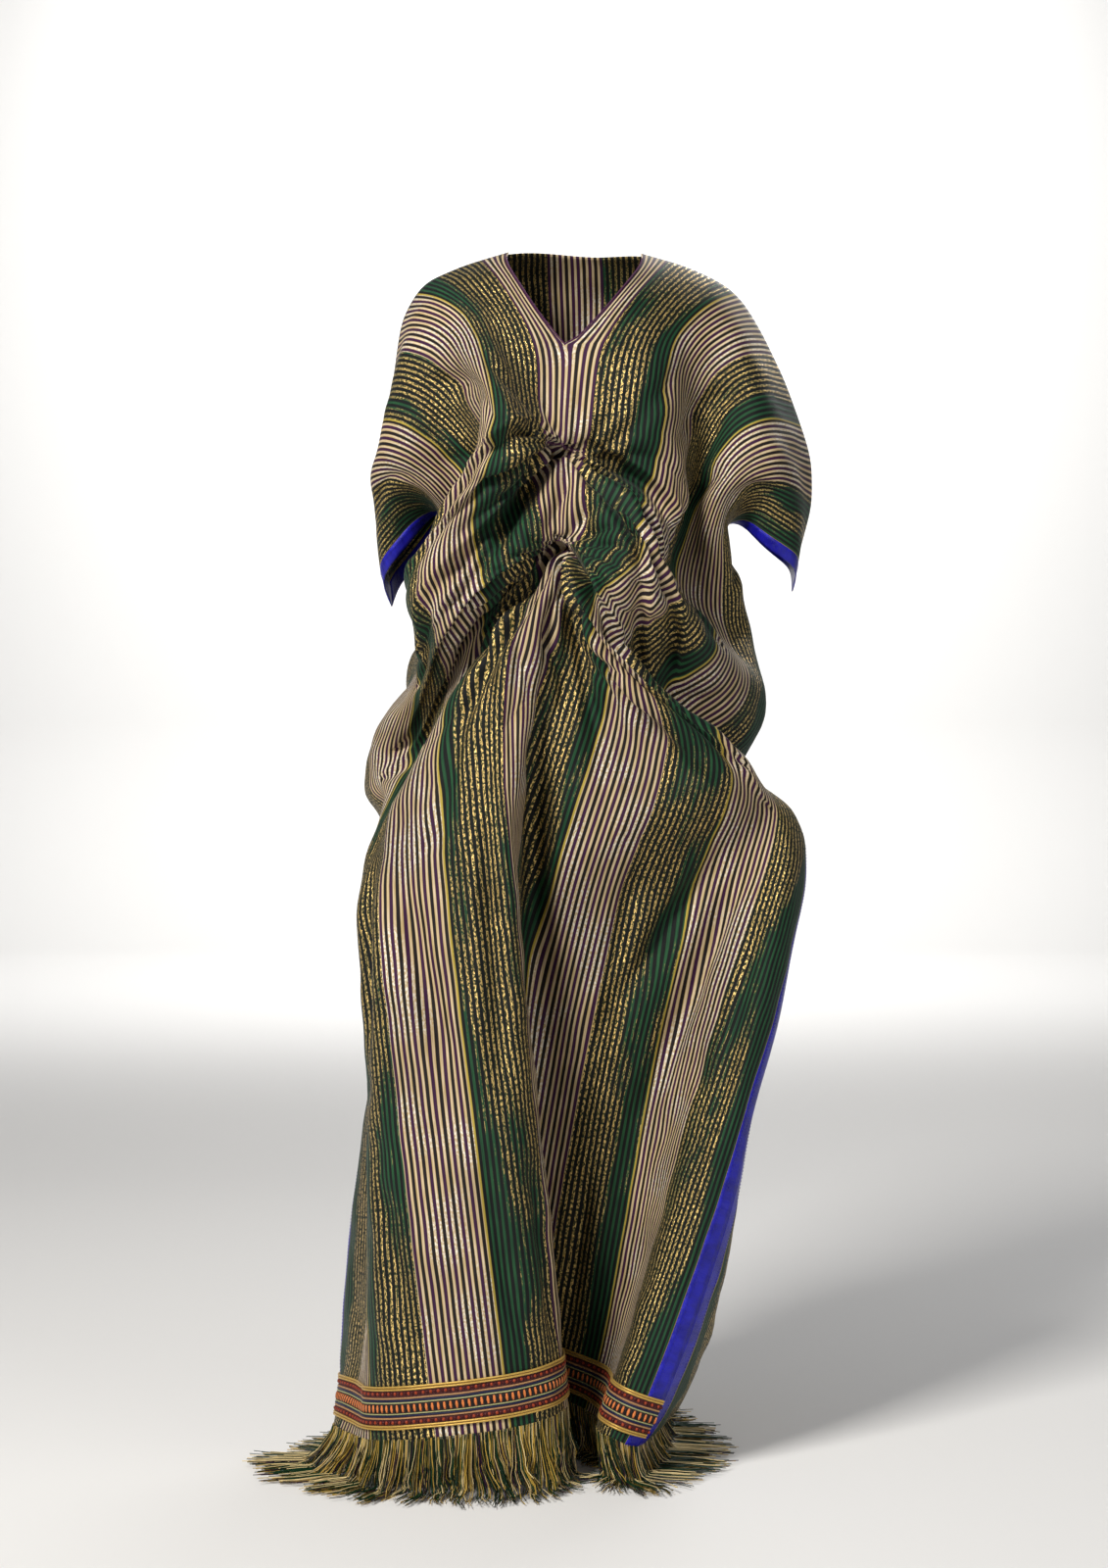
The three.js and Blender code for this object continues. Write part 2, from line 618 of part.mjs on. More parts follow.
// A sheet is a list of faces, each a ring of point numbers, counter-clockwise as seen from outside
function frontFaces(firstRow, lastRow, firstColumn, lastColumn) {
  const faces = [];
  const corner = (i, j, cell) => (i === MIDDLE && cell === MIDDLE ? slashRight[j] : frontAt[j][i]);
  for (let j = firstRow; j < lastRow; j++)
    for (let i = firstColumn; i < lastColumn; i++)
      faces.push([corner(i, j, i), corner(i, j + 1, i), corner(i + 1, j + 1, i), corner(i + 1, j, i)]);
  return faces;
}
const backSteps = [0];
for (let k = 1; k < BACK_LAST; k += 2) backSteps.push(k);
backSteps.push(BACK_LAST);
function backFaces(firstRow, lastRow, firstStep, lastStep) {
  const faces = [];
  for (let j = firstRow; j < lastRow; j++)
    for (let n = firstStep; n < lastStep; n++) {
      const [left, right] = [backSteps[n], backSteps[n + 1]];
      const top = j === 0 ? backAt[0].slice(left, right + 1) : [backAt[j][left], backAt[j][right]];
      faces.push([backAt[j + 1][left], ...top, backAt[j + 1][right]]);
    }
  return faces;
}

// Directions of the cloth: outwards at each point, worked out over both panels. A point's facing is
// small where the cloth bends sharply there
const fan = (ring) => ring.slice(2).map((k, n) => [ring[0], ring[n + 1], k]);
const clothTriangles = [
  ...frontFaces(0, ROWS - 1, 0, 2 * MIDDLE),
  ...backFaces(0, ROWS - 1, 0, backSteps.length - 1),
].flatMap(fan);
function faceDirection(ring) {
  const [a, b, c] = ring.map(at);
  return unit(cross(subtract(b, a), subtract(c, a)));
}
function findDirections() {
  const sums = Array.from({ length: COUNT }, () => [0, 0, 0]);
  const faceNormals = clothTriangles.map(faceDirection);
  clothTriangles.forEach((ring, n) => ring.forEach((k) => (sums[k] = add(sums[k], faceNormals[n]))));
  const normals = sums.map(unit);
  const facing = new Float64Array(COUNT).fill(1);
  clothTriangles.forEach((ring, n) =>
    ring.forEach((k) => (facing[k] = Math.min(facing[k], dot(normals[k], faceNormals[n])))),
  );
  return { normals, facing };
}

// Small crumples are smoothed, and creases sharper than the cloth allows are rounded off. The tight
// cloth of the gathers stays as it is
const beside = Array.from({ length: COUNT }, () => []);
const tight = new Uint8Array(COUNT);
for (const t of threads.filter((x) => x.hold === 1)) {
  beside[t.a].push(t.b);
  beside[t.b].push(t.a);
  if (t.length < 10) tight[t.a] = tight[t.b] = 1;
}
function smooth(isRough, share) {
  const moved = [];
  for (let k = 0; k < COUNT; k++) {
    if (!free[k] || tight[k] || !isRough(k)) continue;
    const mean = beside[k].map(at).reduce((a, b) => add(a, b)).map((x) => x / beside[k].length);
    moved.push([k, mix(at(k), mean, share)]);
  }
  for (const [k, p] of moved) pos.set(p, k * 3);
}
function softenCreases() {
  const { facing } = findDirections();
  smooth((k) => facing[k] < SHARPEST, 0.5);
}

// The nearest places of two triangles, each as shares of its three corners
const CORNER_SHARES = [[1, 0, 0], [0, 1, 0], [0, 0, 1]];
const atShares = (corners, shares) =>
  [0, 1, 2].map((m) => corners[0][m] * shares[0] + corners[1][m] * shares[1] + corners[2][m] * shares[2]);
const clamp = (x) => Math.min(1, Math.max(0, x));
function edgeShares(p, q, r, s) {
  const [d, e, w] = [subtract(q, p), subtract(s, r), subtract(p, r)];
  const [dd, de, ee, dw, ew] = [dot(d, d), dot(d, e), dot(e, e), dot(d, w), dot(e, w)];
  const first = clamp((de * ew - ee * dw) / Math.max(1e-9, dd * ee - de * de));
  const second = clamp((de * first + ew) / ee);
  return [clamp((de * second - dw) / dd), second];
}
function footShares(p, [a, b, c]) {
  const [x, y, w] = [subtract(b, a), subtract(c, a), subtract(p, a)];
  const n = cross(x, y);
  const second = dot(cross(w, y), n) / dot(n, n);
  const third = dot(cross(x, w), n) / dot(n, n);
  return [1 - second - third, second, third];
}
function nearestPlaces(first, second) {
  let best = { distance: Infinity };
  const consider = (onFirst, onSecond) => {
    const way = subtract(atShares(first, onFirst), atShares(second, onSecond));
    const distance = Math.hypot(...way);
    if (distance < best.distance) best = { distance, way, onFirst, onSecond };
  };
  for (let m = 0; m < 3; m++) {
    const footOnSecond = footShares(first[m], second);
    if (Math.min(...footOnSecond) >= 0) consider(CORNER_SHARES[m], footOnSecond);
    const footOnFirst = footShares(second[m], first);
    if (Math.min(...footOnFirst) >= 0) consider(footOnFirst, CORNER_SHARES[m]);
    for (let n = 0; n < 3; n++) {
      const [s, t] = edgeShares(first[m], first[(m + 1) % 3], second[n], second[(n + 1) % 3]);
      consider(
        mix(CORNER_SHARES[m], CORNER_SHARES[(m + 1) % 3], s),
        mix(CORNER_SHARES[n], CORNER_SHARES[(n + 1) % 3], t),
      );
    }
  }
  return best;
}

// Layers that lie closer than their walls are parted at their nearest places. Where two triangles
// share a corner, that corner is drawn in first
function findTouching(reach) {
  const facings = clothTriangles.map(faceDirection);
  const boxes = clothTriangles.map((ring) => {
    const corners = ring.map(at);
    const low = [0, 1, 2].map((m) => Math.min(...corners.map((p) => p[m])) - reach / 2);
    const high = [0, 1, 2].map((m) => Math.max(...corners.map((p) => p[m])) + reach / 2);
    return { low, high };
  });
  const order = boxes.map((_, n) => n).sort((a, b) => boxes[a].low[2] - boxes[b].low[2]);
  const apart = (a, b) => [0, 1].some((m) => a.low[m] > b.high[m] || b.low[m] > a.high[m]);
  const pairs = [];
  for (let n = 0; n < order.length; n++)
    for (let o = n + 1; o < order.length && boxes[order[o]].low[2] < boxes[order[n]].high[2]; o++) {
      const [a, b] = [order[n], order[o]];
      if (apart(boxes[a], boxes[b])) continue;
      const [ringA, ringB] = [clothTriangles[a], clothTriangles[b]];
      const shared = ringA.filter((k) => ringB.includes(k));
      if (shared.length > 1 || (shared.length === 1 && dot(facings[a], facings[b]) > 0.2)) continue;
      if (ringA.some((k) => tight[k]) && ringB.some((k) => tight[k])) continue;
      pairs.push([ringA, ringB, shared[0]]);
    }
  return pairs;
}
function drawnCorners(ring, shared) {
  const corners = ring.map(at);
  const middle = corners.reduce((a, b) => add(a, b)).map((x) => x / 3);
  return corners.map((p, n) => (ring[n] === shared ? mix(p, middle, 0.6) : p));
}
function partLayers(gap) {
  for (const [ringA, ringB, shared] of findTouching(gap)) {
    const { distance, way, onFirst, onSecond } = nearestPlaces(drawnCorners(ringA, shared), drawnCorners(ringB, shared));
    if (distance >= gap || distance < 1e-6) continue;
    const moves = [...ringA.map((k, m) => [k, onFirst[m]]), ...ringB.map((k, m) => [k, -onSecond[m]])];
    const weight = moves.reduce((sum, [k, share]) => sum + free[k] * share * share, 0);
    if (weight < 1e-6) continue;
    const size = (gap - distance) / distance / weight;
    for (const [k, share] of moves) if (free[k]) pos.set(add(at(k), way, size * share), k * 3);
  }
}
for (let pass = 0; pass < SMOOTH_PASSES; pass++) {
  smooth(() => true, 0.5);
  partLayers(PARTED);
}
for (let pass = 0; pass < FINISH_PASSES; pass++) {
  softenCreases();
  if (pass % 3 === 2) partLayers(PARTED);
}
const { normals, facing } = findDirections();
facing.forEach((x, k) => (facing[k] = Math.max(0.6, x)));

// Where a sheet ends, it steps back from the seam line by half of the gap
function findEdges(faces) {
  const directed = new Set(faces.flatMap((ring) => ring.map((k, n) => `${k} ${ring[(n + 1) % ring.length]}`)));
  return [...directed]
    .map((text) => text.split(" ").map(Number))
    .filter(([a, b]) => !directed.has(`${b} ${a}`));
}
function stepsBack(edges) {
  const sides = new Map();
  for (const [a, b] of edges) {
    const way = subtract(at(b), at(a));
    for (const k of [a, b]) sides.set(k, [...(sides.get(k) ?? []), unit(cross(normals[k], way))]);
  }
  const steps = new Map();
  for (const [k, list] of sides) {
    const turn = Math.max(-0.6, dot(list[0], list.at(-1)));
    steps.set(k, add(list[0], list.at(-1)).map((x) => (x * SEAM_GAP) / 2 / (1 + turn)));
  }
  return steps;
}

// A wall is two layers of a sheet, joined round its edges into one closed body. Two walls that meet
// at a seam split its twisted edge the same way
function addVertex(body, p) {
  body.vertices.push(p);
  return body.vertices.length - 1;
}
function addRing(body, ring) {
  for (const t of fan(ring)) body.faces.push(t);
}
function makeWall(faces, outer, inner) {
  const body = { vertices: [], faces: [] };
  const edges = findEdges(faces);
  const steps = stepsBack(edges);
  const layers = new Map();
  for (const k of faces.flat()) {
    if (layers.has(k)) continue;
    const base = add(at(k), steps.get(k) ?? [0, 0, 0]);
    const out = addVertex(body, add(base, normals[k], outer / facing[k]));
    layers.set(k, { out, in: addVertex(body, add(base, normals[k], inner / facing[k])) });
  }
  for (const ring of faces)
    for (const [a, b, c] of fan(ring)) {
      body.faces.push([layers.get(a).out, layers.get(b).out, layers.get(c).out]);
      body.faces.push([layers.get(a).in, layers.get(c).in, layers.get(b).in]);
    }
  for (const [a, b] of edges) {
    const [p, q] = [layers.get(a), layers.get(b)];
    addRing(body, a < b ? [q.out, p.out, p.in, q.in] : [p.out, p.in, q.in, q.out]);
  }
  return body;
}

// The fringe: a narrow strip below the cloth's edge, with tapered locks drawn out of its lower side
const hemMiddle = [-40, 10, 0];
function stripColumns(points0, points1) {
  const faces = points0.slice(1).map((k, n) => [points0[n], points1[n], points1[n + 1], k]);
  const steps = stepsBack(findEdges(faces));
  const layer = (k, distance) => add(add(at(k), steps.get(k)), normals[k], distance / facing[k]);
  return points0.map((k, n) => ({
    topOut: layer(k, WALL / 2),
    topIn: layer(k, -WALL / 2),
    lowOut: layer(points1[n], WALL / 2),
    lowIn: layer(points1[n], -WALL / 2),
    outward: normals[points1[n]],
  }));
}
function mixColumns(a, b, t) {
  return Object.fromEntries(Object.keys(a).map((key) => [key, mix(a[key], b[key], t)]));
}
function addLock(body, left, right, corners) {
  const root = mix(mix(left.lowOut, left.lowIn, 0.5), mix(right.lowOut, right.lowIn, 0.5), 0.5);
  const along = unit(subtract(mix(right.lowOut, right.lowIn, 0.5), mix(left.lowOut, left.lowIn, 0.5)));
  const across = unit([along[1], -along[0], 0]);
  const away = dot(across, left.outward) + dot(across, right.outward) > 0 ? across : add([0, 0, 0], across, -1);
  const radial = unit([root[0] - hemMiddle[0], root[1] - hemMiddle[1], 0]);
  const drop = root[2] - FLOOR - 2;
  // where the hem lies on the floor there is no room for a lock, so the strip is closed flat
  if (drop < LEAST_DROP) {
    addRing(body, corners);
    return;
  }
  const spread = ease(dot(away, radial) * 1.6 - 0.5) * Math.sqrt(Math.max(0, LOCK_LENGTH ** 2 - drop ** 2));
  const tip = add(add(root, away, spread), [0, 0, -drop]);
  // a lock starts out the way the cloth ends, and its section halves the bend there, so that no side
  // of it gets too thin
  const top = mix(mix(left.topOut, left.topIn, 0.5), mix(right.topOut, right.topIn, 0.5), 0.5);
  const down = unit(subtract(root, top));
  const centre = add(root, down, Math.min((0.6 * drop) / Math.max(-down[2], 0.25), LOCK_LENGTH / 3));
  const through = unit(cross(unit(add(down, unit(subtract(tip, centre)))), along));
  const halfLength = 0.4 * Math.hypot(...subtract(right.lowOut, left.lowOut));
  const ring = [[-1, 1], [1, 1], [1, -1], [-1, -1]].map(([s, t]) =>
    addVertex(body, add(add(centre, along, s * halfLength), through, t * WALL * 0.45)),
  );
  const end = addVertex(body, tip);
  for (let n = 0; n < 4; n++) {
    const next = (n + 1) % 4;
    addRing(body, [corners[n], ring[n], ring[next], corners[next]]);
    body.faces.push([ring[n], end, ring[next]]);
  }
}
function makeFringe(points0, points1) {
  const columns = stripColumns(points0, points1);
  const body = { vertices: [], faces: [] };
  const fine = [];
  columns.slice(1).forEach((right, n) => {
    for (let m = 0; m < LOCKS_PER_CELL; m++) fine.push(mixColumns(columns[n], right, m / LOCKS_PER_CELL));
  });
  fine.push(columns.at(-1));
  const at4 = fine.map((c) => [c.topOut, c.lowOut, c.lowIn, c.topIn].map((p) => addVertex(body, p)));
  for (let n = 0; n + 1 < fine.length; n++) {
    const [a, b] = [at4[n], at4[n + 1]];
    addRing(body, [a[0], a[1], b[1], b[0]]);
    addRing(body, [b[3], b[2], a[2], a[3]]);
    addRing(body, [a[3], a[0], b[0], b[3]]);
    addLock(body, fine[n], fine[n + 1], [a[1], b[1], b[2], a[2]]);
  }
  addRing(body, [at4[0][3], at4[0][2], at4[0][1], at4[0][0]]);
  addRing(body, at4.at(-1));
  return body;
}

// Named pieces
const lastStep = backSteps.length - 1;
const halfWall = WALL / 2;
const trimInner = halfWall + TRIM_LIFT;
const bodies = {
  front_panel: makeWall(frontFaces(0, EDGE_ROW, 1, 2 * MIDDLE - 1), halfWall, -halfWall),
  back_panel: makeWall(backFaces(0, EDGE_ROW, 1, lastStep - 1), halfWall, -halfWall),
  binding_front_left: makeWall(frontFaces(0, EDGE_ROW, 0, 1), halfWall, -halfWall),
  binding_front_right: makeWall(frontFaces(0, EDGE_ROW, 2 * MIDDLE - 1, 2 * MIDDLE), halfWall, -halfWall),
  binding_back_left: makeWall(backFaces(0, EDGE_ROW, 0, 1), halfWall, -halfWall),
  binding_back_right: makeWall(backFaces(0, EDGE_ROW, lastStep - 1, lastStep), halfWall, -halfWall),
  hem_trim: makeWall(frontFaces(TRIM_ROW, TRIM_ROW + 2, 0, 2 * MIDDLE), trimInner + TRIM_WALL, trimInner),
  fringe_front: makeFringe(frontAt[EDGE_ROW], frontAt[EDGE_ROW + 1]),
  fringe_back: makeFringe(
    backSteps.map((k) => backAt[EDGE_ROW][k]).reverse(),
    backSteps.map((k) => backAt[EDGE_ROW + 1][k]).reverse(),
  ),
};
const cloth = { color: 0x5f6646, roughness: 0.62, metalness: 0.06 };
const satin = { color: 0x1d1fb0, roughness: 0.34, metalness: 0.02 };
const braid = { color: 0x6d3a34, roughness: 0.5, metalness: 0.22 };
const threadEnds = { color: 0x86764a, roughness: 0.72, metalness: 0.08 };
const looks = {
  front_panel: cloth,
  back_panel: cloth,
  binding_front_left: satin,
  binding_front_right: satin,
  binding_back_left: satin,
  binding_back_right: satin,
  hem_trim: braid,
  fringe_front: threadEnds,
  fringe_back: threadEnds,
};
const dress = new THREE.Group();
dress.name = "kaftan_dress";
for (const [name, body] of Object.entries(bodies)) {
  const geometry = new THREE.BufferGeometry();
  geometry.setAttribute("position", new THREE.Float32BufferAttribute(body.vertices.flat(), 3));
  geometry.setIndex(body.faces.flat());
  geometry.computeVertexNormals();
  const mesh = new THREE.Mesh(geometry, new THREE.MeshStandardMaterial(looks[name]));
  mesh.name = name;
  dress.add(mesh);
}
export default dress;
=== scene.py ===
# %% [markdown]
# # A floor-length kaftan in striped cloth
# This notebook dresses the plain solids of a kaftan: two wide panels of striped cloth sewn together at
# the shoulders and sides, blue satin bindings, a braid above the hem and a long fringe. The solids
# already hang as the dress hangs. Here the cloth gets its finer form, its stripes and its sewing.
# All lengths are in metres.

# %% Start
import math

import bmesh
import bpy
import numpy as np
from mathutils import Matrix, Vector


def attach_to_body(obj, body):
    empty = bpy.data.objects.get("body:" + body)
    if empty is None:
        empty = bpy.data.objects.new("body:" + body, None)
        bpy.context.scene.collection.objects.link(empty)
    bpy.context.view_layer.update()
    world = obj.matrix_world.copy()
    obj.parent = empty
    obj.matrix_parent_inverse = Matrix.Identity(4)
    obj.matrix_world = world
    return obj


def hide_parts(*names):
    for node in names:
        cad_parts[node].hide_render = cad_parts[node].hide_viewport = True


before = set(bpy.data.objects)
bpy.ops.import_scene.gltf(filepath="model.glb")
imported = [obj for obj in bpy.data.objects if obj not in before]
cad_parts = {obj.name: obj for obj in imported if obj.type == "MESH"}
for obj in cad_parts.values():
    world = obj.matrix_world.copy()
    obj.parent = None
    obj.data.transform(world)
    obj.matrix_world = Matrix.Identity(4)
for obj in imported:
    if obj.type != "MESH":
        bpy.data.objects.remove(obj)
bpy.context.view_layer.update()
MM = 0.001
FLOOR = -1.502
print("solids:", ", ".join(sorted(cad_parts)))

# %% [markdown]
# ## The cut
# Striped cloth is cut flat, and each stripe keeps its place in the cut however the cloth is draped.
# So every piece is modelled on the grid of its own cut: u runs across from the centre line and v runs
# down from the shoulder. The same numbers then place the folds, the stripes and the stitches.

# %% Columns and rows of the cut
HALF_WIDTH, FULL = 0.502, 0.528
NECK_HALF = 0.090
SLASH_ROW, SLASH_V, WAIST_V = 5, 0.150, 0.920
TRIM_TOP, TRIM_MIDDLE, TRIM_BOTTOM, HEM_V = 1.682, 1.706, 1.730, 1.746


def row_heights():
    """Distance of each row of the solids from the shoulder."""
    rows = list(np.linspace(0, SLASH_V, SLASH_ROW + 1))
    rows += list(np.linspace(SLASH_V, WAIST_V, 24))[1:]
    rows += list(np.linspace(WAIST_V, TRIM_TOP, 20))[1:]
    return np.array(rows + [TRIM_MIDDLE, TRIM_BOTTOM, HEM_V])


half = np.append(np.linspace(0, HALF_WIDTH, 19), FULL)
front_u = np.append(-half[:0:-1], half)
opened = half + NECK_HALF * (1 - half / FULL)
neck_u = np.array([-0.66, -0.33, 0, 0.33, 0.66]) * NECK_HALF
back_all = np.concatenate([-opened[::-1], neck_u, opened])
back_u = np.concatenate([back_all[:1], back_all[1:-1:2], back_all[-1:]])
rows_v = row_heights()
ROWS = len(rows_v)
print("front columns", len(front_u), "back columns", len(back_u), "rows", ROWS)

# %% [markdown]
# ## From solid to sheet
# Each solid is a thin closed wall. Its outer skin is a regular grid of triangles, so the grid can be
# found again: take the narrow rim away, keep the skin that faces outwards, and count the steps from
# its edges to give each corner its row and column. This was chosen over modelling the drape again,
# because the fine cloth then hangs exactly where the solids do.

# %% The outer skin of a wall
# faces with an edge shorter than this belong to the rim
RIM = 2.72 * MM
SAME_PLACE = 2e-6


def flood(skin):
    """The parts of a mesh, each a set of faces that hang together."""
    left = set(skin.faces)
    parts = []
    while left:
        part, edge = set(), [left.pop()]
        while edge:
            face = edge.pop()
            part.add(face)
            near = {other for e in face.edges for other in e.link_faces} & left
            left -= near
            edge += near
        parts.append(part)
    return parts


def outer_skin(node, towards):
    """The skin of a wall that faces that way, as a mesh with neither inner skin nor rim."""
    skin = bmesh.new()
    skin.from_mesh(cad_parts[node].data)
    bmesh.ops.remove_doubles(skin, verts=skin.verts, dist=SAME_PLACE)
    rim = [f for f in skin.faces if min(e.calc_length() for e in f.edges) < RIM]
    bmesh.ops.delete(skin, geom=rim, context="FACES")
    for part in flood(skin):
        facing = sum((f.normal * f.calc_area() for f in part), Vector()).dot(Vector(towards))
        if facing < 0:
            bmesh.ops.delete(skin, geom=list(part), context="FACES")
    return skin


def edge_loop(skin):
    """Corners round the skin's edge, anticlockwise from the bottom left as seen from outside."""
    after = {}
    for edge in skin.edges:
        if edge.is_boundary:
            loop = edge.link_loops[0]
            after[loop.vert] = loop.link_loop_next.vert
    start = min((v for v in after if len(v.link_faces) == 1), key=lambda v: v.co.z)
    walk = [start]
    while after[walk[-1]] is not start:
        walk.append(after[walk[-1]])
    return walk


def steps_from(sources):
    """Number of edges from each corner to the nearest source."""
    steps = {v: 0 for v in sources}
    wave = list(sources)
    while wave:
        wave = [(v, e.other_vert(v)) for v in wave for e in v.link_edges]
        fresh = []
        for v, other in wave:
            if other not in steps:
                steps[other] = steps[v] + 1
                fresh.append(other)
        wave = fresh
    return steps


def read_grid(node, towards, columns, rows=ROWS):
    """Grid of corners, rows from the top, columns from the left as seen from outside. A slashed grid
    has a second copy of its middle column, for the right side of the slash."""
    skin = outer_skin(node, towards)
    loop = edge_loop(skin)
    right = loop[columns - 1:columns - 1 + rows]
    left = [loop[0]] + loop[len(loop) - rows + 1:]
    from_left, from_right = steps_from(left), steps_from(right)
    from_below = steps_from(loop[:columns])
    grid = np.full((2, rows, columns, 3), np.nan)
    for v in skin.verts:
        row = rows - 1 - from_below[v]
        for side, column in ((0, from_left[v]), (1, columns - 1 - from_right[v])):
            if 0 <= column < columns and 0 <= row:
                grid[side, row, column] = v.co
    top = loop[columns + rows - 2:len(loop) - rows + 2]
    if len(top) == 2 * columns - 1:
        grid[:, 0] = [v.co for v in top[::-2]]
    middle = columns // 2
    sheet = np.where(np.arange(columns)[None, :, None] <= middle, grid[0], grid[1])
    slash_edge = grid[1][:, middle].copy()
    skin.free()
    return sheet, slash_edge


FRONT, BACK, LEFT, RIGHT = (0, -1, 0), (0, 1, 0), (-1, 0, 0), (1, 0, 0)
front_panel, slash_edge = read_grid("front_panel", FRONT, len(front_u) - 2)
back_panel = read_grid("back_panel", BACK, len(back_u) - 2)[0]
strips = {
    name: read_grid(name, LEFT if name.endswith("left") else RIGHT, 2)[0]
    for name in (f"binding_{half}_{side}" for half in ("front", "back") for side in ("left", "right"))
}


def join_strips(left, panel, right):
    """One sheet out of a panel and the strips sewn to its sides."""
    seam_left = (left[:, 1:] + panel[:, :1]) / 2
    seam_right = (panel[:, -1:] + right[:, :1]) / 2
    return np.concatenate([left[:, :1], seam_left, panel[:, 1:-1], seam_right, right[:, 1:]], axis=1)


front = join_strips(strips["binding_front_left"], front_panel, strips["binding_front_right"])
back = join_strips(strips["binding_back_right"], back_panel, strips["binding_back_left"])
print("front sheet", front.shape, "back sheet", back.shape)
print("holes:", int(np.isnan(front).sum()), "in front,", int(np.isnan(back).sum()), "behind")

# %% [markdown]
# ## Finer cloth
# The solids have a corner every 28 to 50 mm, which is too coarse for cloth. A cubic spline through the
# rows and columns makes a smooth sheet with a point every 5 to 13 mm, closest where the gathers drape.
# Splines are chosen over a subdivision modifier because each new point then knows its exact u and v
# in the cut.

# %% A smooth sheet from a coarse grid
def steps_for(places, low, high, inside, outside):
    """How many steps each coarse cell gets: more of them for cells between low and high."""
    middles = (np.array(places)[1:] + np.array(places)[:-1]) / 2
    return [inside if low < place < high else outside for place in middles]


def spline(steps):
    """Weights that turn a line of coarse points into a smooth line, with the ends kept."""
    count = len(steps) + 1
    weights = np.zeros((sum(steps) + 1, count))
    places = [(n, k / step) for n, step in enumerate(steps) for k in range(step)] + [(count - 2, 1.0)]
    for k, (segment, t) in enumerate(places):
        basis = [(1 - t) ** 3, 3 * t**3 - 6 * t**2 + 4, -3 * t**3 + 3 * t**2 + 3 * t + 1, t**3]
        for n, share in enumerate(basis):
            place = segment - 1 + n
            if place < 0:
                weights[k, 0] += share / 3
                weights[k, 1] -= share / 6
            elif place >= count:
                weights[k, -1] += share / 3
                weights[k, -2] -= share / 6
            else:
                weights[k, place] += share / 6
    return weights


def refine(grid, across, down):
    """The sheet with more rows and columns."""
    rows = np.tensordot(spline(down), grid, axes=(1, 0))
    return np.einsum("cb,rbx->rcx", spline(across), rows)


def refine_slashed(grid, slash_edge, across, down):
    """The front in two halves, whose inner edges part along the slash and are one line below it."""
    middle = grid.shape[1] // 2
    right_half = grid[:, middle:].copy()
    right_half[:, 0] = slash_edge
    left = refine(grid[:, :middle + 1], across[:middle], down)
    right = refine(right_half, across[middle:], down)
    whole = refine(grid, across, down)
    closed = sum(down[:SLASH_ROW])
    cut = sum(across[:middle])
    left[closed:], right[closed:] = whole[closed:, :cut + 1], whole[closed:, cut:]
    return left, right


DRAPED_V, DRAPED_U = (0.28, 0.98), (-0.31, 0.31)
row_steps = steps_for(rows_v, *DRAPED_V, inside=6, outside=3)
front_steps = steps_for(front_u, *DRAPED_U, inside=6, outside=4)
back_steps = [7] * (len(back_u) - 1)
front_left, front_right = refine_slashed(front, slash_edge, front_steps, row_steps)
front_fine_u = spline(front_steps) @ front_u
back_fine = refine(back, back_steps, row_steps)
back_fine_u = (spline(back_steps) @ back_u)[::-1]
fine_v = spline(row_steps) @ rows_v
CUT = len(front_fine_u) // 2
SLASH_END = sum(row_steps[:SLASH_ROW])
print("front points", front_left.shape, front_right.shape, "back points", back_fine.shape)

# %% [markdown]
# ## Pleats, rolled folds and creases
# The large folds are in the solids. Thin cloth also has finer ones: tight pleats that fan out of each
# centre gather, rolled folds that run from the gathers to the sides with a hollow under each, soft
# creases in the sleeves and the skirt, and a slight crumple all over. Each is a line or a rule in the
# cut with a width and a depth in real sizes. Pushing the sheet along its normals by them was chosen
# over sculpting, because the folds can then be moved and measured like any other part of the pattern.

# %% Where the folds lie in the cut
GATHERS = [
    {"v": 0.340, "folds": 17, "peak": 0.066, "depth": 0.0070, "turn": 0.4},
    {"v": 0.624, "folds": 19, "peak": 0.082, "depth": 0.0086, "turn": 1.1},
]
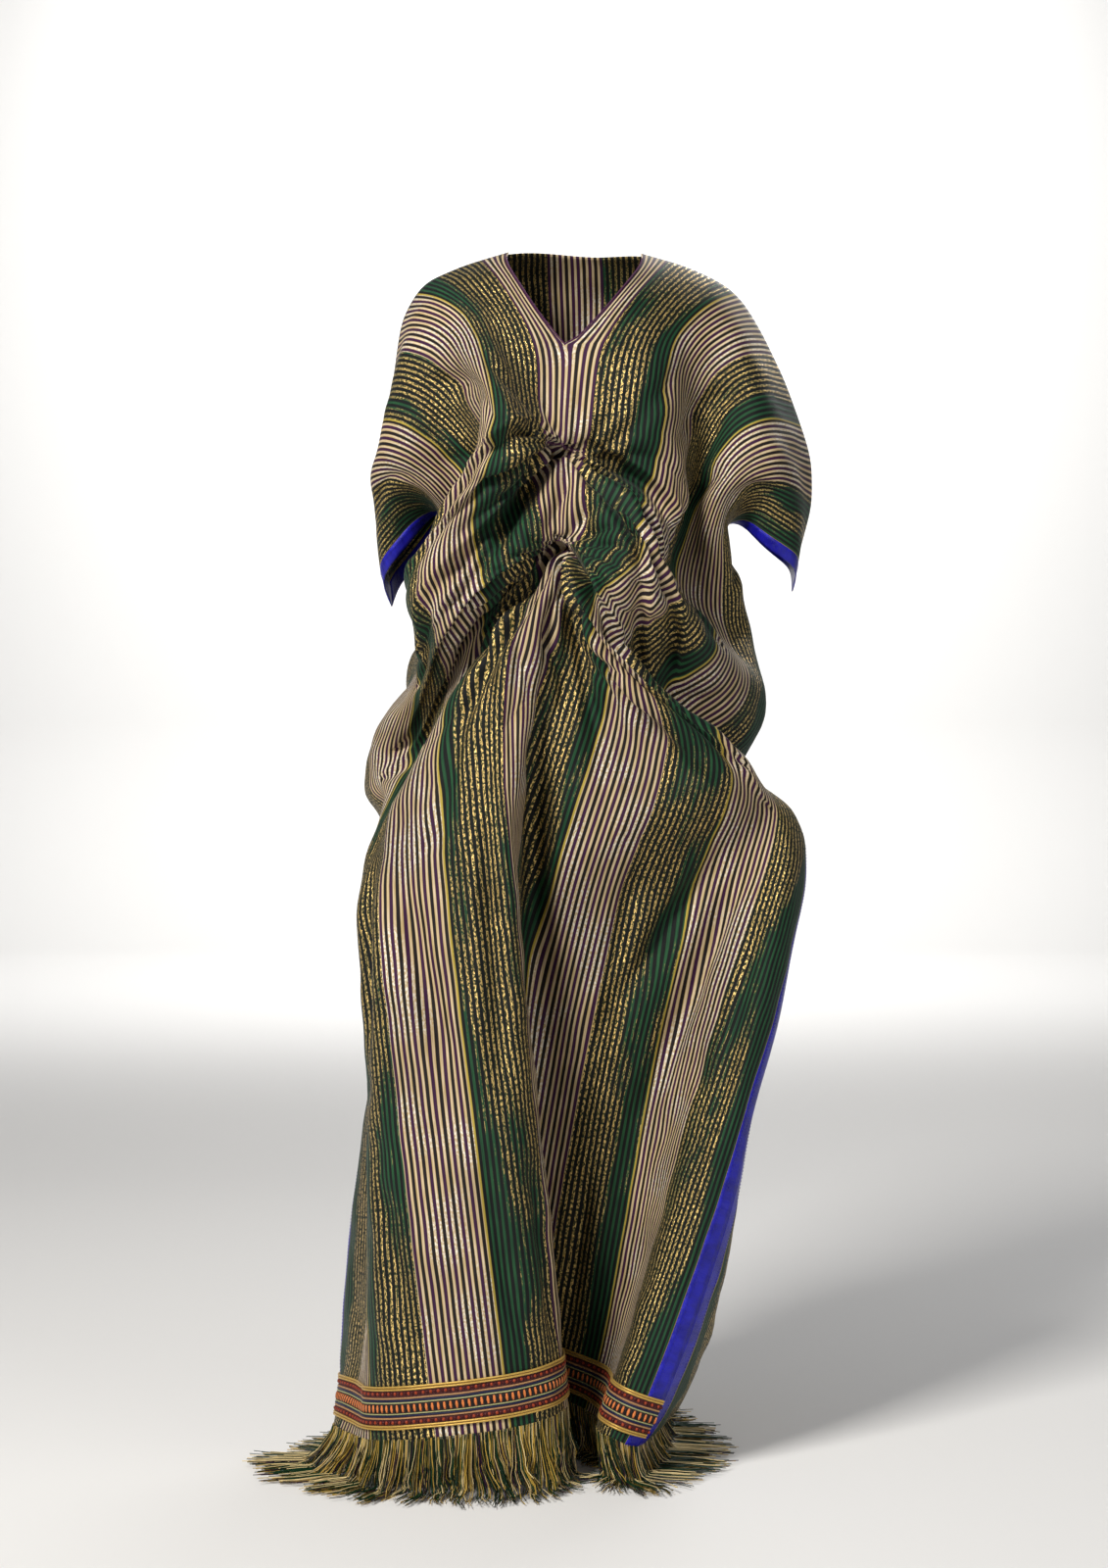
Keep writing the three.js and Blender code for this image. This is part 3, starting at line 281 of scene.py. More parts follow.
# a rolled fold runs out of a gather and has a hollow under it: its points, and the sizes in millimetres
# of its ridge and of its hollow (width, height, width, depth)
ROLLS = [
    ([(0.000, 0.342), (-0.045, 0.420), (-0.090, 0.458), (-0.151, 0.493), (-0.215, 0.535),
      (-0.270, 0.600)], 6, 10, 15, 30),
    ([(0.000, 0.342), (0.050, 0.400), (0.100, 0.440), (0.160, 0.496), (0.222, 0.545),
      (0.285, 0.610)], 6, 10, 16, 31),
    ([(0.000, 0.622), (-0.035, 0.592), (-0.078, 0.570), (-0.120, 0.570), (-0.165, 0.584), (-0.225, 0.630),
      (-0.285, 0.700), (-0.330, 0.790)], 6, 12, 16, 32),
    ([(0.000, 0.622), (0.045, 0.604), (0.100, 0.622), (0.162, 0.650), (0.225, 0.700), (0.285, 0.765),
      (0.335, 0.850)], 6, 12, 17, 34),
    ([(0.020, 0.660), (0.095, 0.720), (0.180, 0.790), (0.262, 0.880)], 7, 7, 15, 20),
    ([(-0.020, 0.660), (-0.085, 0.730), (-0.160, 0.810), (-0.225, 0.900)], 7, 7, 15, 20),
    ([(0.060, 0.300), (0.130, 0.325), (0.210, 0.360), (0.290, 0.420)], 8, 6, 14, 16),
    ([(-0.060, 0.290), (-0.130, 0.325), (-0.200, 0.375), (-0.270, 0.450)], 8, 6, 14, 14),
    ([(0.030, 0.350), (0.120, 0.385), (0.220, 0.440), (0.320, 0.520)], 6, 6, 11, 16),
    ([(0.020, 0.370), (0.080, 0.455), (0.160, 0.560), (0.250, 0.650), (0.330, 0.720)], 6, 7, 12, 19),
    ([(-0.030, 0.350), (-0.120, 0.390), (-0.210, 0.450), (-0.300, 0.540)], 6, 6, 11, 15),
    ([(-0.020, 0.370), (-0.075, 0.460), (-0.150, 0.535), (-0.240, 0.600), (-0.310, 0.660)], 6, 7, 12, 18),
    ([(0.020, 0.636), (0.100, 0.668), (0.200, 0.735), (0.300, 0.830), (0.380, 0.930)], 6, 8, 13, 22),
    ([(-0.020, 0.636), (-0.090, 0.650), (-0.180, 0.690), (-0.270, 0.770), (-0.350, 0.870)], 6, 8, 13, 22),
    ([(0.014, 0.650), (0.070, 0.760), (0.140, 0.880), (0.200, 1.000)], 7, 6, 13, 16),
    ([(-0.014, 0.650), (-0.060, 0.770), (-0.110, 0.890), (-0.150, 1.020)], 7, 6, 13, 16),
]
# from (u, v) to (u, v), width and depth in millimetres
FRONT_CREASES = [
    ((-0.30, 0.10), (-0.12, 0.30), 16, 8), ((0.31, 0.08), (0.13, 0.31), 17, 8),
    ((-0.38, 0.16), (-0.20, 0.36), 14, 7), ((0.40, 0.15), (0.20, 0.38), 15, 8),
    ((-0.46, 0.05), (-0.36, 0.24), 13, 6), ((0.47, 0.04), (0.37, 0.26), 13, 6),
    ((-0.17, 0.14), (-0.05, 0.31), 12, 5), ((0.17, 0.15), (0.05, 0.31), 12, 5),
    ((-0.10, 0.40), (-0.28, 0.56), 13, 5), ((0.09, 0.41), (0.30, 0.60), 14, 5),
    ((-0.14, 0.30), (-0.33, 0.46), 13, 7), ((0.15, 0.29), (0.36, 0.48), 14, 8),
    ((-0.15, 0.52), (-0.38, 0.72), 13, 6), ((0.16, 0.50), (0.42, 0.76), 14, 7),
    ((-0.06, 0.66), (-0.22, 0.93), 14, 6), ((0.05, 0.67), (0.24, 0.92), 14, 6),
    ((0.000, 0.66), (0.055, 1.02), 11, 8), ((-0.015, 0.66), (-0.030, 1.00), 10, 7),
    ((0.012, 0.65), (0.095, 0.96), 11, 7), ((-0.030, 0.67), (-0.080, 1.00), 11, 7),
    ((0.030, 0.80), (0.178, 1.40), 24, 34), ((-0.050, 0.90), (-0.100, 1.40), 18, 17),
    ((-0.23, 1.00), (-0.30, 1.36), 18, 17), ((-0.19, 1.00), (-0.15, 1.40), 18, 19),
    ((0.39, 1.00), (0.30, 1.40), 18, 20), ((0.36, 0.99), (0.20, 1.32), 17, 19),
    ((0.42, 1.02), (0.46, 1.38), 16, 10), ((-0.41, 1.00), (-0.44, 1.36), 17, 10),
    ((-0.33, 1.02), (-0.38, 1.50), 16, 10), ((0.24, 0.98), (0.23, 1.42), 15, 12),
    ((-0.26, 1.36), (-0.24, 1.69), 20, 9), ((0.16, 1.36), (0.14, 1.69), 20, 10),
    ((-0.12, 1.36), (-0.11, 1.69), 17, 9), ((0.26, 1.38), (0.25, 1.69), 16, 10),
    ((-0.34, 1.44), (-0.36, 1.70), 15, 9), ((-0.05, 1.40), (-0.05, 1.70), 14, 10),
    ((-0.49, 0.30), (-0.40, 0.36), 12, 5), ((0.49, 0.30), (0.41, 0.38), 12, 5),
]
BACK_CREASES = [
    ((-0.28, 0.12), (-0.20, 0.42), 20, 4), ((0.28, 0.12), (0.20, 0.44), 20, 4),
    ((-0.40, 0.14), (-0.30, 0.36), 16, 4), ((0.41, 0.15), (0.31, 0.38), 16, 4),
    ((-0.46, 0.06), (-0.41, 0.26), 13, 3.5), ((0.47, 0.06), (0.42, 0.27), 13, 3.5),
    ((-0.44, 0.52), (-0.26, 0.78), 18, 4.5), ((0.44, 0.50), (0.27, 0.80), 18, 4.5),
    ((-0.46, 0.84), (-0.38, 1.20), 18, 4), ((0.46, 0.86), (0.37, 1.22), 18, 4),
    ((-0.14, 0.60), (-0.18, 1.10), 22, 3.5), ((0.13, 0.64), (0.17, 1.16), 22, 3.5),
    ((-0.05, 1.10), (-0.08, 1.60), 22, 3), ((0.22, 1.14), (0.26, 1.64), 22, 3),
]
print("folds:", len(ROLLS), "rolled,", len(FRONT_CREASES), "creases in front,", len(BACK_CREASES), "behind")


# %% The height of one fold
def pleats(u, v):
    """Height of the pleats that fan out below both gathers, with round crests and sharp valleys."""
    height = np.zeros(np.broadcast(u, v).shape)
    for g in GATHERS:
        down = v - g["v"]
        reach = np.hypot(u, down) + 1e-6
        angle = np.arctan2(u, down) + 0.10 * np.sin(reach * 40 + g["turn"])
        wave = 2 * np.abs(np.sin(angle * g["folds"] / 2 + g["turn"] + 0.5 * np.sin(angle * 3))) ** 0.8 - 1
        share = reach / g["peak"]
        below = 0.40 + 0.60 * np.clip(0.5 + down / reach, 0, 1)
        height += g["depth"] * wave * share * np.exp(1 - share) * below
    return height


def roll(u, v, points, ridge_width, ridge_height, hollow_width, hollow_depth):
    """A rolled fold along a line of points, with a hollow on its lower side."""
    nearest = np.full(np.broadcast(u, v).shape, 9.0)
    side = np.zeros_like(nearest)
    share = np.zeros_like(nearest)
    for n, ((u0, v0), (u1, v1)) in enumerate(zip(points, points[1:])):
        du, dv = u1 - u0, v1 - v0
        along = np.clip(((u - u0) * du + (v - v0) * dv) / (du**2 + dv**2), 0, 1)
        off_u, off_v = u - u0 - along * du, v - v0 - along * dv
        distance = np.hypot(off_u, off_v)
        lower = (off_v * abs(du) - off_u * dv * np.sign(du)) >= 0
        closer = distance < nearest
        nearest = np.where(closer, distance, nearest)
        side = np.where(closer, np.where(lower, 1, -1), side)
        share = np.where(closer, (n + along) / (len(points) - 1), share)
    place = side * nearest / MM
    fade = np.clip(1.25 - share, 0, 1) * np.clip(share / 0.06 + 0.3, 0, 1)
    ridge = ridge_height * np.exp(-((place / ridge_width) ** 2))
    hollow = hollow_depth * np.exp(-(((place - ridge_width - hollow_width * 0.75) / hollow_width) ** 2))
    return (ridge - hollow) * fade * MM


def crease(u, v, start, end, width, depth):
    """One soft trough with a small ridge on each side of it, deepest in the middle of its length."""
    (u0, v0), (u1, v1) = start, end
    length = math.hypot(u1 - u0, v1 - v0)
    along = ((u - u0) * (u1 - u0) + (v - v0) * (v1 - v0)) / length**2
    across = ((u - u0) * (v1 - v0) - (v - v0) * (u1 - u0)) / length
    bend = 0.18 * length * np.sin(along * 3) * (along - 0.5)
    distance = (across - bend * 0.3) / (width * MM)
    fade = np.exp(-((2 * along - 1) ** 2) * 1.6) * np.clip(1.4 - np.abs(2 * along - 1), 0, 1)
    trough = 1.25 * np.exp(-(distance**2))
    ridges = 0.45 * np.exp(-((distance / 2.2) ** 2))
    return -depth * MM * fade * (trough - ridges)


CRUMPLE_SEED, CRUMPLE_WAVES, CRUMPLE_HEIGHT = 12, 14, 0.32


def crumple(u, v):
    """Slight unevenness of worn cloth: many weak waves in all directions, the same at each run."""
    chance = np.random.default_rng(CRUMPLE_SEED)
    height = 0.0
    for _ in range(CRUMPLE_WAVES):
        angle = chance.uniform(0, math.pi)
        waves = 2 * math.pi / chance.uniform(0.045, 0.120)
        start = chance.uniform(0, 2 * math.pi)
        bend = 0.35 * np.sin(9 * v + 7 * u + start)
        height = height + np.sin(waves * (u * math.cos(angle) + v * math.sin(angle)) + start + bend)
    return height * CRUMPLE_HEIGHT * MM


# %% Folds pressed into the sheets
def normals_of(grid):
    """Outward direction at each point of a sheet whose columns run from the left as seen from outside."""
    across = np.gradient(grid, axis=1)
    down = np.gradient(grid, axis=0)
    direction = np.cross(down, across)
    return direction / np.maximum(np.linalg.norm(direction, axis=2, keepdims=True), 1e-9)


def smoothed(grid, passes):
    """The sheet with its small bumps evened out and its edges kept."""
    for _ in range(passes):
        middle = grid[1:-1, 1:-1]
        beside = (grid[:-2, 1:-1] + grid[2:, 1:-1] + grid[1:-1, :-2] + grid[1:-1, 2:]) / 4
        grid = grid.copy()
        grid[1:-1, 1:-1] = middle * 0.5 + beside * 0.5
    return grid


def creased(grid, u, creases, with_pleats=False):
    """The sheet pushed in and out along its normals by its creases, less near its edges."""
    uu, vv = u[None, :], fine_v[:, None]
    height = sum(crease(uu, vv, *line) for line in creases) + crumple(uu, vv)
    if with_pleats:
        height = height + pleats(uu, vv) + sum(roll(uu, vv, *line) for line in ROLLS)
    from_ends = np.minimum(1, np.minimum(vv, HEM_V - vv) / 0.05)
    from_sides = np.minimum(1, (FULL - np.abs(uu)) / 0.04)
    return grid + normals_of(grid) * (height * (from_ends * from_sides))[..., None]


PASSES = 2
left_u, right_u = front_fine_u[:CUT + 1], front_fine_u[CUT:]
front_left = creased(smoothed(front_left, PASSES), left_u, FRONT_CREASES, with_pleats=True)
front_right = creased(smoothed(front_right, PASSES), right_u, FRONT_CREASES, with_pleats=True)
back_fine = creased(smoothed(back_fine, PASSES), back_fine_u, BACK_CREASES)
seam = (front_left[SLASH_END:, -1] + front_right[SLASH_END:, 0]) / 2
front_left[SLASH_END:, -1] = front_right[SLASH_END:, 0] = seam
print("the slash ends at row", SLASH_END, "of", len(fine_v))

# %% [markdown]
# ## Cloth pieces
# The sheet is cut along the seams into the panel and its satin bindings, as a maker would cut them.
# Each piece keeps its u and v as a UV map in metres. A Solidify modifier gives it its thickness, which
# is simpler than a second modelled skin, since both sides of thin cloth have the same form.

# %% Pieces of cloth
CLOTH_THICK, SATIN_THICK = 1.1 * MM, 1.5 * MM


def new_piece(name, mesh, material=None):
    """An object at the origin for a finished mesh."""
    piece = bpy.data.objects.new(name, mesh)
    bpy.context.scene.collection.objects.link(piece)
    if material:
        piece.data.materials.append(material)
    return piece


def sheet_mesh(name, patches):
    """A mesh with a UV map out of grids (points, u, v) that share the points they have in common."""
    corners, faces, coords, index = [], [], [], {}

    def corner(p, uv):
        key = tuple(np.round(p, 6)) + (round(uv[1], 5),)
        if key not in index:
            index[key] = len(corners)
            corners.append(tuple(p))
        return index[key]

    for grid, u, v in patches:
        ids = [[corner(grid[r, c], (u[c], v[r])) for c in range(len(u))] for r in range(len(v))]
        for r in range(len(v) - 1):
            for c in range(len(u) - 1):
                faces.append((ids[r][c], ids[r + 1][c], ids[r + 1][c + 1], ids[r][c + 1]))
                coords += [(u[c], v[r]), (u[c], v[r + 1]), (u[c + 1], v[r + 1]), (u[c + 1], v[r])]
    mesh = bpy.data.meshes.new(name)
    mesh.from_pydata(corners, [], faces)
    layer = mesh.uv_layers.new(name="cut")
    layer.data.foreach_set("uv", np.array(coords, dtype=np.float32).ravel())
    mesh.shade_smooth()
    return mesh


def cloth_piece(name, patches, thick):
    """A piece of cloth whose thickness lies inwards of its sheet."""
    piece = new_piece(name, sheet_mesh(name, patches))
    wall = piece.modifiers.new("thickness", "SOLIDIFY")
    wall.thickness = thick
    wall.offset = -1
    wall.use_even_offset = False
    return piece


SEAM, BACK_SEAM = front_steps[0], back_steps[0]
front_cloth = cloth_piece("front_cloth", [
    (front_left[:, SEAM:], left_u[SEAM:], fine_v),
    (front_right[:, :-SEAM], right_u[:-SEAM], fine_v),
], CLOTH_THICK)
back_cloth = cloth_piece("back_cloth", [
    (back_fine[:, BACK_SEAM:-BACK_SEAM], back_fine_u[BACK_SEAM:-BACK_SEAM], fine_v),
], CLOTH_THICK)
bindings = {
    "front_left": (front_left[:, :SEAM + 1], left_u[:SEAM + 1]),
    "front_right": (front_right[:, -SEAM - 1:], right_u[-SEAM - 1:]),
    "back_left": (back_fine[:, -BACK_SEAM - 1:], back_fine_u[-BACK_SEAM - 1:]),
    "back_right": (back_fine[:, :BACK_SEAM + 1], back_fine_u[:BACK_SEAM + 1]),
}
binding_pieces = {
    name: cloth_piece(f"binding_{name}_satin", [(grid, u, fine_v)], SATIN_THICK)
    for name, (grid, u) in bindings.items()
}
print("front faces", len(front_cloth.data.polygons), "back faces", len(back_cloth.data.polygons))

# %% [markdown]
# ## The striped cloth
# The cloth is woven in wide bands of pale gold and dark green. Plum and near-black lines run along the
# gold bands and black ones along the green, and a metal thread glints in long patches. One node group
# draws all of this from the UV map of the cut, so the stripes run on from piece to piece. The weave
# itself is a second group, because the satin and the braid use it too.

# %% Helpers for node trees
VALUE, VECTOR, COLOUR = "NodeSocketFloat", "NodeSocketVector", "NodeSocketColor"
COUNT, MATERIAL = "NodeSocketInt", "NodeSocketMaterial"


def add_node(tree, kind, values=None, **settings):
    """A node of that kind. values sets its inputs by number or name, and links those that are sockets."""
    node = tree.nodes.new(kind)
    for key, value in settings.items():
        setattr(node, key, value)
    for key, value in (values or {}).items():
        if isinstance(value, bpy.types.NodeSocket):
            tree.links.new(value, node.inputs[key])
        else:
            node.inputs[key].default_value = value
    return node


def calc(tree, operation, *values):
    """The result of a math node."""
    return add_node(tree, "ShaderNodeMath", dict(enumerate(values)), operation=operation).outputs[0]


def blend_colours(tree, share, first, second):
    """A mix of two colours."""
    node = add_node(tree, "ShaderNodeMix", {0: share, 6: first, 7: second}, data_type="RGBA")
    return node.outputs[2]


def vector_calc(tree, operation, *values):
    """The result of a vector math node."""
    return add_node(tree, "ShaderNodeVectorMath", dict(enumerate(values)), operation=operation).outputs[0]


def ramp_mask(tree, value, low, high):
    """A value from 0 at low to 1 at high."""
    values = {0: value, 1: low, 2: high}
    return add_node(tree, "ShaderNodeMapRange", values, interpolation_type="SMOOTHSTEP").outputs[0]


def noise(tree, place, scale, detail=2.0, stretch=(1, 1, 1)):
    """Noise over a place, stretched along its axes."""
    values = {"Vector": vector_calc(tree, "MULTIPLY", place, stretch), "Scale": scale, "Detail": detail}
    return add_node(tree, "ShaderNodeTexNoise", values).outputs[0]


def two_tone(tree, value, first, second, low=0.3, high=0.7):
    """The first colour where the value is low, the second where it is high."""
    return blend_colours(tree, ramp_mask(tree, value, low, high), first, second)


def mottled(tree, colour, value, darkest, low=0.35, high=0.65):
    """A colour that is darker where the value is low."""
    tone = two_tone(tree, value, (darkest, darkest, darkest, 1), (1, 1, 1, 1), low, high)
    values = {0: 1.0, 6: colour, 7: tone}
    return add_node(tree, "ShaderNodeMix", values, data_type="RGBA", blend_type="MULTIPLY").outputs[2]


def flat_bands(tree, value, bands):
    """Flat colours along a value, each from its own place on."""
    ramp = add_node(tree, "ShaderNodeValToRGB", {0: value})
    ramp.color_ramp.interpolation = "CONSTANT"
    elements = ramp.color_ramp.elements
    elements[1].position = bands[1][0]
    for element, (_, colour) in zip(elements, bands):
        element.color = (*colour, 1)
    for place, colour in bands[2:]:
        elements.new(place).color = (*colour, 1)
    return ramp.outputs[0]


def new_group(name, inputs, outputs):
    """An empty shader group, its input node and its output node."""
    group = bpy.data.node_groups.new(name, "ShaderNodeTree")
    for title, kind in inputs:
        group.interface.new_socket(title, in_out="INPUT", socket_type=kind)
    for title, kind in outputs:
        group.interface.new_socket(title, in_out="OUTPUT", socket_type=kind)
    return group, group.nodes.new("NodeGroupInput"), group.nodes.new("NodeGroupOutput")


def use_group(tree, group, values):
    """A group placed in a material."""
    return add_node(tree, "ShaderNodeGroup", values, node_tree=group)


# %% Weave, shared by every cloth
def make_weave():
    """Height of a plain weave over a place in the cut, with uneven threads."""
    inputs = [("Place", VECTOR), ("Threads per metre", VALUE)]
    group, given, result = new_group("plain_weave", inputs, [("Height", VALUE)])
    part = add_node(group, "ShaderNodeSeparateXYZ", {0: given.outputs[0]})
    turns = calc(group, "MULTIPLY", given.outputs[1], math.pi)
    warp, weft = (
        calc(group, "ABSOLUTE", calc(group, "SINE", calc(group, "MULTIPLY", part.outputs[axis], turns)))
        for axis in (0, 1)
    )
    slub = noise(group, given.outputs[0], 60, 3, (9, 1, 1))
    height = calc(group, "ADD", calc(group, "MULTIPLY", warp, weft), calc(group, "MULTIPLY", slub, 0.8))
    group.links.new(height, result.inputs[0])
    return group


weave = make_weave()
print("weave nodes:", len(weave.nodes))

# %% [markdown]
# ### Bands and lines
# The order of the bands was read off the upper front, where the cloth lies flat: half a gold band at the
# middle, then green and gold in turn, all about 93 mm wide. In each band fine dark lines repeat every
# 7.7 mm, so a mask with one line to each pitch draws them all, and the width of the line is an input.

# %% Bands and lines of the striped cloth
BAND_EDGES = [0.036, 0.130, 0.222, 0.316, 0.408]
BAND_WIDTH = 0.093
EDGE_SOFTNESS = 0.0006
LINE_PITCH = 0.00768
LINE_SOFTNESS = 0.04
GOLD_LINE, GREEN_LINE, RAISED_LINE, WARM_LINE = 0.0043, 0.0042, 0.0032, 0.0014
PALE_GOLD, DULL_GOLD, OLD_GOLD = (0.78, 0.62, 0.42, 1), (0.56, 0.41, 0.19, 1), (0.54, 0.38, 0.10, 1)
WHITE_GLINT, METAL_GOLD, EDGE_YELLOW = (0.98, 0.93, 0.80, 1), (0.96, 0.68, 0.24, 1), (0.50, 0.37, 0.06, 1)
NEAR_BLACK, PLUM, GREEN_BLACK = (0.010, 0.005, 0.006, 1), (0.042, 0.007, 0.042, 1), (0.002, 0.003, 0.003, 1)
DEEP_GREEN, LEAF_GREEN = (0.008, 0.052, 0.021, 1), (0.018, 0.100, 0.034, 1)
DARK_OLIVE, OLIVE = (0.022, 0.034, 0.010, 1), (0.060, 0.056, 0.014, 1)


def line_mask(tree, across, pitch, width):
    """1 on lines of that width in metres, one to each pitch."""
    turns = calc(tree, "FRACT", calc(tree, "DIVIDE", across, pitch))
    from_middle = calc(tree, "ABSOLUTE", calc(tree, "SUBTRACT", turns, 0.5))
    half_line = width / pitch / 2
    return ramp_mask(tree, from_middle, half_line + LINE_SOFTNESS, half_line - LINE_SOFTNESS)


def gold_bands(group, place, across, slub, fleck):
    """Pale gold strips between plum and near-black lines, with a white glint."""
    strip = two_tone(group, slub, PALE_GOLD, DULL_GOLD)
    warm = line_mask(group, across, LINE_PITCH / 2, WARM_LINE)
    strip = blend_colours(group, calc(group, "MULTIPLY", warm, 0.5), strip, OLD_GOLD)
    patches = ramp_mask(group, noise(group, place, 11, 2, (1.5, 1, 1)), 0.46, 0.62)
    glint = calc(group, "MULTIPLY", fleck, patches)
    strip = blend_colours(group, calc(group, "MULTIPLY", glint, 0.8), strip, WHITE_GLINT)
    every_other = calc(group, "ADD", across, LINE_PITCH / 2)
    plum = line_mask(group, every_other, 2 * LINE_PITCH, LINE_PITCH * 0.9)
    dark = blend_colours(group, plum, NEAR_BLACK, PLUM)
    lines = line_mask(group, across, LINE_PITCH, GOLD_LINE)
    colour = blend_colours(group, lines, strip, dark)
    return colour, calc(group, "MULTIPLY", glint, calc(group, "SUBTRACT", 1.0, lines))


def metal_cover(group, place, across, slub):
    """Where the metal thread covers the green: long ragged patches, fewer on one side of each band."""
    ragged = calc(group, "MULTIPLY", calc(group, "SUBTRACT", slub, 0.5), 0.32)
    in_band = calc(group, "MODULO", calc(group, "SUBTRACT", across, BAND_EDGES[0]), 2 * BAND_WIDTH)
    plain_side = calc(group, "MULTIPLY", ramp_mask(group, in_band, 0.054, 0.074), 0.16)
    cover = calc(group, "ADD", noise(group, place, 5.4, 2.5, (2.8, 0.55, 1)), ragged)
    return ramp_mask(group, calc(group, "SUBTRACT", cover, plain_side), 0.39, 0.47)


def green_bands(group, place, across, slub, fleck):
    """Deep green strips between black lines. In long patches a gold metal thread covers the green."""
    cover = metal_cover(group, place, across, slub)
    olive = two_tone(group, slub, DARK_OLIVE, OLIVE, 0.35, 0.65)
    strip = blend_colours(group, cover, two_tone(group, slub, DEEP_GREEN, LEAF_GREEN), olive)
    lines = line_mask(group, across, LINE_PITCH, GREEN_LINE)
    bare = calc(group, "SUBTRACT", 1.0, lines)
    thread = calc(group, "MULTIPLY", calc(group, "MULTIPLY", fleck, bare), cover)
    strip = blend_colours(group, thread, strip, METAL_GOLD)
    return blend_colours(group, lines, strip, GREEN_BLACK), thread


def green_share(group, across):
    """1 in the green bands and 0 in the gold ones."""
    green = 0.0
    for n, edge in enumerate(BAND_EDGES):
        step = ramp_mask(group, across, edge - EDGE_SOFTNESS, edge + EDGE_SOFTNESS)
        green = calc(group, "ADD" if n % 2 == 0 else "SUBTRACT", green, step)
    return green


def stripe_height(group, place, across, glint):
    """The weave, the metal thread that lies on it, and a soft rib between the dark lines."""
    ribs = use_group(group, weave, {0: place, 1: 900.0}).outputs[0]
    between_lines = calc(group, "ADD", across, LINE_PITCH / 2)
    cords = calc(group, "MULTIPLY", line_mask(group, between_lines, LINE_PITCH, RAISED_LINE), 1.2)
    return calc(group, "ADD", calc(group, "ADD", ribs, calc(group, "MULTIPLY", glint, 0.6)), cords)


def make_stripes():
    """Colour, shine and height of the striped cloth over a place in the cut."""
    group, given, result = new_group(
        "woven_bands", [("Place", VECTOR)],
        [("Colour", COLOUR), ("Roughness", VALUE), ("Metallic", VALUE), ("Height", VALUE)],
    )
    place = given.outputs[0]
    part = add_node(group, "ShaderNodeSeparateXYZ", {0: place})
    across = calc(group, "ABSOLUTE", part.outputs[0])
    green = green_share(group, across)
    slub = noise(group, place, 42, 3, (14, 0.6, 1))
    fleck = ramp_mask(group, noise(group, place, 520, 1.5, (1, 0.50, 1)), 0.46, 0.58)
    gold, gold_glint = gold_bands(group, place, across, slub, fleck)
    leaf, leaf_glint = green_bands(group, place, across, slub, fleck)
    colour = blend_colours(group, green, gold, leaf)
    from_edge = calc(group, "PINGPONG", calc(group, "SUBTRACT", across, BAND_EDGES[1]), BAND_WIDTH)
    edge_line = ramp_mask(group, from_edge, 0.0016, 0.0009)
    colour = blend_colours(group, edge_line, colour, EDGE_YELLOW)
    colour = mottled(group, colour, noise(group, place, 7), 0.82)
    in_gold = calc(group, "MULTIPLY", gold_glint, calc(group, "SUBTRACT", 1.0, green))
    in_green = calc(group, "MULTIPLY", leaf_glint, green)
    glint = calc(group, "ADD", in_green, calc(group, "MULTIPLY", in_gold, 0.5))
    metal = calc(group, "MULTIPLY", glint, 0.75)
    rough = calc(group, "SUBTRACT", 0.52, calc(group, "MULTIPLY", metal, 0.34))
    height = stripe_height(group, place, across, glint)
    for n, socket in enumerate((colour, rough, metal, height)):
        group.links.new(socket, result.inputs[n])
    return group


woven_bands = make_stripes()


# %% The striped cloth as a material
def new_material(name, **constants):
    """A material, its tree and its Principled BSDF with those constants set on it."""
    material = bpy.data.materials.new(name)
    material.use_nodes = True
    shader = material.node_tree.nodes["Principled BSDF"]
    for key, value in constants.items():
        shader.inputs[key.replace("_", " ")].default_value = value
    return material, material.node_tree, shader


def bump_into(tree, shader, height, distance):
    """Feeds a height into the shader's normal."""
    bump = add_node(tree, "ShaderNodeBump", {"Height": height, "Distance": distance, "Strength": 0.6})
    tree.links.new(bump.outputs[0], shader.inputs["Normal"])


def cut_place(tree):
    """The place in the cut, from the UV map."""
    return add_node(tree, "ShaderNodeUVMap", uv_map="cut").outputs[0]


def striped_material():
    """The woven bands as a dry cloth with a little sheen."""
    material, tree, shader = new_material(
        "striped_cloth", Sheen_Weight=0.06, Sheen_Roughness=0.4, Specular_IOR_Level=0.22
    )
    bands = use_group(tree, woven_bands, {0: cut_place(tree)})
    for output, target in ((0, "Base Color"), (1, "Roughness"), (2, "Metallic")):
        tree.links.new(bands.outputs[output], shader.inputs[target])
    bump_into(tree, shader, bands.outputs[3], 0.0004)
    return material


striped = striped_material()
for piece in (front_cloth, back_cloth):
    piece.data.materials.append(striped)
print("bands change at", BAND_EDGES)

# %% [markdown]
# ## Blue satin
# The side edges and cuffs are bound in shiny royal-blue satin. Satin is smooth and throws long
# highlights, so it has low roughness and only a very fine crosswise pucker from its sewing. The pucker
# is too shallow to show in the outline, so it is a bump in the material and not geometry.

# %% Satin
def satin_material():
    """Royal-blue satin with a fine pucker."""
    material, tree, shader = new_material("blue_satin", Specular_IOR_Level=0.35)
    place = cut_place(tree)
    tone = noise(tree, place, 30, 2, (1, 2, 1))
    colour = two_tone(tree, tone, (0.006, 0.005, 0.24, 1), (0.012, 0.011, 0.42, 1))
    tree.links.new(colour, shader.inputs["Base Color"])
    rough = add_node(tree, "ShaderNodeMapRange", {0: tone, 3: 0.24, 4: 0.36}).outputs[0]
    tree.links.new(rough, shader.inputs["Roughness"])
    pucker = noise(tree, place, 40, 2, (0.6, 3.0, 1))
    threads = use_group(tree, weave, {0: place, 1: 1500.0}).outputs[0]
    height = calc(tree, "ADD", calc(tree, "MULTIPLY", pucker, 5.0), calc(tree, "MULTIPLY", threads, 0.3))
    bump_into(tree, shader, height, 0.0005)
    return material


satin = satin_material()
for piece in binding_pieces.values():
    piece.data.materials.append(satin)
print("satin on", ", ".join(p.name for p in binding_pieces.values()))

